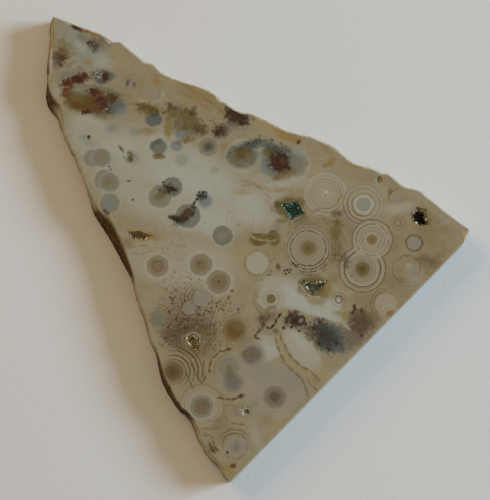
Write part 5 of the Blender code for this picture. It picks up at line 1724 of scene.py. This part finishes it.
@dataclass
class Crust:
    """The quartz points of one hollow, fused on a bumpy sheet that lines it."""

    node: str
    finish: CrystalFinish
    count: int = 150
    size: float = 0.24
    seed: int = 1
    clear: float = 0.1
    closing: float = 0.8
    bump: float = 0.12
    bump_size: float = 0.6
    lift: float = 0.15
    thick: float = 0.12
    sheet_shade: float = 0.15
    cover: float = 0.12

    def build(self, slab: Slab, cavity: Cavity) -> bpy.types.Object:
        """Build the crust's piece.

        The sheet is the cavity's wall drawn in a little and roughened. Points stand on it at
        places drawn evenly over its area, each a six-sided column with a pointed tip that leans
        from the sheet's normal towards the opening.
        """
        draw = np.random.default_rng(self.seed)
        sheet = slab.cup(cavity)[1:]
        rows, columns = sheet.shape[:2]
        centre = np.array([*cavity.at, 0.0])
        level = sheet - centre
        level[:, :, 2] = 0.0
        reach = np.linalg.norm(level, axis=2, keepdims=True)
        sheet = sheet - level / np.maximum(reach, 1e-6) * self.clear
        shrink = np.linspace(1.0, self.closing, rows)[:, None]
        sheet[:, :, :2] = centre[:2] + (sheet[:, :, :2] - centre[:2]) * shrink[:, :, None]
        bumps = self.bump * rough_noise(sheet.reshape(-1, 3), self.bump_size, 3, SHEET_SEED)
        sheet[:, :, 2] += bumps.reshape(rows, columns) + self.lift
        base = sheet.copy()
        base[:, :, 2] -= self.thick
        pole_top = np.array([[*cavity.at, sheet[-1, :, 2].mean() + 0.05]])
        pole_base = pole_top - (0.0, 0.0, 0.15)
        points = [sheet.reshape(-1, 3), pole_top, base.reshape(-1, 3), pole_base]
        top_pole = rows * columns
        below = top_pole + 1
        base_pole = below + rows * columns
        faces = band_faces(rows, columns).tolist()
        faces += [face[::-1] for face in band_faces(rows, columns, below).tolist()]
        last = (rows - 1) * columns
        for k in range(columns):
            after = (k + 1) % columns
            faces.append([last + k, last + after, top_pole])
            faces.append([below + last + after, below + last + k, base_pole])
            faces.append([after, k, below + k, below + after])
        shade = [np.full(base_pole + 1, self.sheet_shade)]
        stones, stone_faces, tints = self._points(draw, sheet, pole_top[0], base_pole + 1)
        points.append(stones)
        shade.append(tints)
        top = float(sheet[:, :, 2].max())
        piece = make_piece(f"{self.node}_points", np.concatenate(points), faces + stone_faces,
                           sharp=20.0)
        piece.data.materials.append(self.finish.build(top, cavity.floor))
        tint = piece.data.attributes.new("shade", "FLOAT", "POINT")
        tint.data.foreach_set("value", np.concatenate(shade))
        return piece

    def _points(self, draw: np.random.Generator, sheet: np.ndarray, pole: np.ndarray,
                first: int) -> tuple[np.ndarray, list[list[int]], np.ndarray]:
        """Make the crystal points.

        Args:
            draw: the seeded source of chance.
            sheet: the sheet they stand on.
            pole: the middle of its floor.
            first: the number of their first vertex in the whole mesh.

        Returns:
            Vertices, faces and a shade for each vertex.
        """
        rows, columns = sheet.shape[:2]
        column = draw.integers(0, columns, self.count)
        down = draw.random(self.count) ** 0.8 * rows
        row = np.minimum(down.astype(int), rows - 1)
        share = (down - row)[:, None]
        upper = sheet[row, column]
        lower = np.where((row < rows - 1)[:, None], sheet[np.minimum(row + 1, rows - 1), column],
                         pole)
        root = upper + (lower - upper) * share
        along = sheet[row, (column + 1) % columns] - upper
        slope = lower - upper
        normal = np.cross(along, slope)
        normal /= np.maximum(np.linalg.norm(normal, axis=1, keepdims=True), 1e-9)
        normal *= np.sign(normal[:, 2:3] + 1e-9)
        lean = normal + draw.normal(0.0, 0.45, (self.count, 3)) + (0.0, 0.0, 0.35)
        lean /= np.linalg.norm(lean, axis=1, keepdims=True)
        aside = np.cross(lean, draw.normal(0.0, 1.0, (self.count, 3)))
        aside /= np.linalg.norm(aside, axis=1, keepdims=True)
        across = np.cross(lean, aside)
        width = self.size * draw.uniform(0.5, 1.0, (self.count, 1, 1))
        tall = width * draw.uniform(0.8, 1.6, (self.count, 1, 1))
        turn = np.arange(6) * math.pi / 3.0
        ring = (np.cos(turn)[None, :, None] * aside[:, None, :]
                + np.sin(turn)[None, :, None] * across[:, None, :]) * width
        foot = root[:, None, :] + ring - lean[:, None, :] * 0.5 * width
        shoulder = root[:, None, :] + ring + lean[:, None, :] * tall * 0.5
        tip = root[:, None, :] + lean[:, None, :] * (tall * 0.5 + width)
        points = np.concatenate([foot, shoulder, tip], axis=1)
        points[:, :, 2] = np.minimum(points[:, :, 2], THICKNESS - self.cover)
        each = points.shape[1]
        faces = []
        for number in range(self.count):
            at = first + each * number
            faces += [[at + k, at + (k + 1) % 6, at + 6 + (k + 1) % 6, at + 6 + k]
                      for k in range(6)]
            faces += [[at + 6 + k, at + 6 + (k + 1) % 6, at + 12] for k in range(6)]
            faces.append([at + k for k in (5, 4, 3, 2, 1, 0)])
        tints = np.repeat(draw.random(self.count), each)
        return points.reshape(-1, 3), faces, tints


# The stage

@dataclass(frozen=True)
class Lamp:
    """A soft rectangular light that faces the slab."""

    name: str
    bearing: float
    rise: float
    width: float
    height: float
    power: float
    colour: tuple[float, float, float]
    distance: float = 1.5

    def build(self, target: Vector) -> None:
        """Place the light by its bearing from +X and its rise, facing the target."""
        light = bpy.data.lights.new(self.name, "AREA")
        light.shape = "RECTANGLE"
        light.size, light.size_y = self.width, self.height
        light.energy = self.power
        light.color = self.colour
        lamp = show(self.name, light)
        bearing, rise = math.radians(self.bearing), math.radians(self.rise)
        away = Vector((math.cos(bearing) * math.cos(rise), math.sin(bearing) * math.cos(rise),
                       math.sin(rise)))
        lamp.location = target + away * self.distance
        lamp.rotation_euler = away.to_track_quat("Z", "Y").to_euler()


@dataclass
class Stage:
    """The pale floor, the soft lights and the camera, which looks down from 80 degrees."""

    floor_size: float = 3.0
    floor_colour: tuple[float, float, float] = (0.8, 0.8, 0.8)
    target: Vector = field(default_factory=lambda: Vector((-2.715, -1.423, 5.0)) * MM)
    elevation: float = 80.0
    distance: float = 0.481667
    lens: float = 150.0
    ambient: tuple[float, float, float] = (0.3, 0.27, 0.2)
    lamps: tuple[Lamp, ...] = (
        Lamp("window_light", 10.0, 19.8, 0.62, 0.4, 25.2, (0.563, 0.765, 1.0)),
        Lamp("room_light", 135.0, 29.0, 0.8, 0.8, 6.5, (1.0, 0.56, 0.22)),
    )

    def build(self) -> None:
        """Place the floor, the lights and the camera."""
        self._floor()
        world = bpy.data.worlds.new("soft_room")
        world.use_nodes = True
        back = world.node_tree.nodes["Background"]
        back.inputs["Color"].default_value = (*self.ambient, 1.0)
        bpy.context.scene.world = world
        for lamp in self.lamps:
            lamp.build(self.target)
        self._camera()
        bpy.context.scene.view_settings.view_transform = "Standard"

    def _floor(self) -> None:
        """Lay a square floor under the slab's foot."""
        half = self.floor_size / 2.0
        mesh = bpy.data.meshes.new("paper_floor")
        mesh.from_pydata([(-half, -half, 0.0), (half, -half, 0.0), (half, half, 0.0),
                          (-half, half, 0.0)], [], [(0, 1, 2, 3)])
        paper, graph, shader = new_material("pale_paper")
        shader.inputs["Base Color"].default_value = (*self.floor_colour, 1.0)
        shader.inputs["Roughness"].default_value = 0.9
        shader.inputs["Specular IOR Level"].default_value = 0.1
        grain = graph.noise(graph.node("ShaderNodeTexCoord", output="Object"), 900.0, 3.0, 0.6)
        bump = graph.node("ShaderNodeBump", {}, {
            "Strength": 0.35, "Distance": 0.0001, "Height": grain})
        bump.to(shader.inputs["Normal"])
        mesh.materials.append(paper)
        floor = show("paper_floor", mesh)

    def _camera(self) -> None:
        """Aim the camera at the target from the -Y side."""
        data = bpy.data.cameras.new("camera")
        data.lens = self.lens
        data.sensor_width = 36.0
        data.clip_start = 0.01
        camera = show("camera", data)
        rise = math.radians(self.elevation)
        away = Vector((0.0, -math.cos(rise), math.sin(rise)))
        camera.location = self.target + away * self.distance
        camera.rotation_euler = (math.pi / 2.0 - rise, 0.0, 0.0)
        bpy.context.scene.camera = camera


# What the polished face opens into besides its crystal hollows: four pits and the olive recess
PITS = (
    Cavity((-29.8, 21.1), 4.7, 28, 4, 0.1),
    Cavity((-2.5, -39.1), 4.82, 28, 4, 0.1),
    Cavity((28.4, 15.2), 4.4, 28, 4, 0.04),
    Cavity((-39.3, 25.2), 4.75, 20, 3, 0.03),
    Cavity((1.9, 1.1), 4.93, 56, 3, 0.04),
)

# The gains of 1.7 and 1.8 are painted light: they lighten the points past their own colour to make up
# for the shade in the hollows.
TEAL_POINTS = CrystalFinish("teal_crystals", TEAL, FERN, CHALK, 1.7)
GREY_POINTS = CrystalFinish("grey_crystals", SAGE, GLASS, CHALK, 1.8)
# The deep hollow's points take painted shade almost to black at its floor.
DEEP_POINTS = CrystalFinish("grey_crystals", DRAB, CREAM, CHALK, 1.8, 0.98)
CREAM_POINTS = CrystalFinish("cream_crystals", FAWN, STRAW, CHALK, 1.7)

CRUSTS = (
    Crust("diamond_hollow_crystals", TEAL_POINTS, 150, 0.26, 3),
    Crust("triangle_hollow_crystals", GREY_POINTS, 150, 0.26, 5),
    Crust("deep_hollow_crystals", DEEP_POINTS, 150, 0.26, 7),
    Crust("slit_hollow_crystals", CREAM_POINTS, 90, 0.22, 9),
    Crust("lower_hollow_crystals", CREAM_POINTS, 90, 0.24, 11),
)

# The foot of a packed crust is this far above the floor of its hollow
SEAT = 0.32


def hollow_of(node: str) -> Cavity:
    """The cavity that a packed crust sits in: its middle and just under its floor."""
    low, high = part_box(node)
    middle = (low + high) / 2.0 / MM
    return Cavity((middle.x, middle.y), low.z / MM - SEAT)


def main() -> None:
    """Build the slab, its crusts and the stage, and attach each piece to the body."""
    logging.basicConfig(level=logging.INFO, format="%(name)s: %(message)s")
    Stage().build()
    slab = Slab()
    hollows = {crust.node: hollow_of(crust.node) for crust in CRUSTS}
    stone = slab.build([*hollows.values(), *PITS])
    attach(stone, BODY)
    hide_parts(SLAB_NODE)
    log.info("%s: %d faces", stone.name, len(stone.data.polygons))
    for crust in CRUSTS:
        piece = crust.build(slab, hollows[crust.node])
        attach(piece, BODY)
        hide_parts(crust.node)
        log.info("%s: %d faces", piece.name, len(piece.data.polygons))


if __name__ == "__main__":
    main()
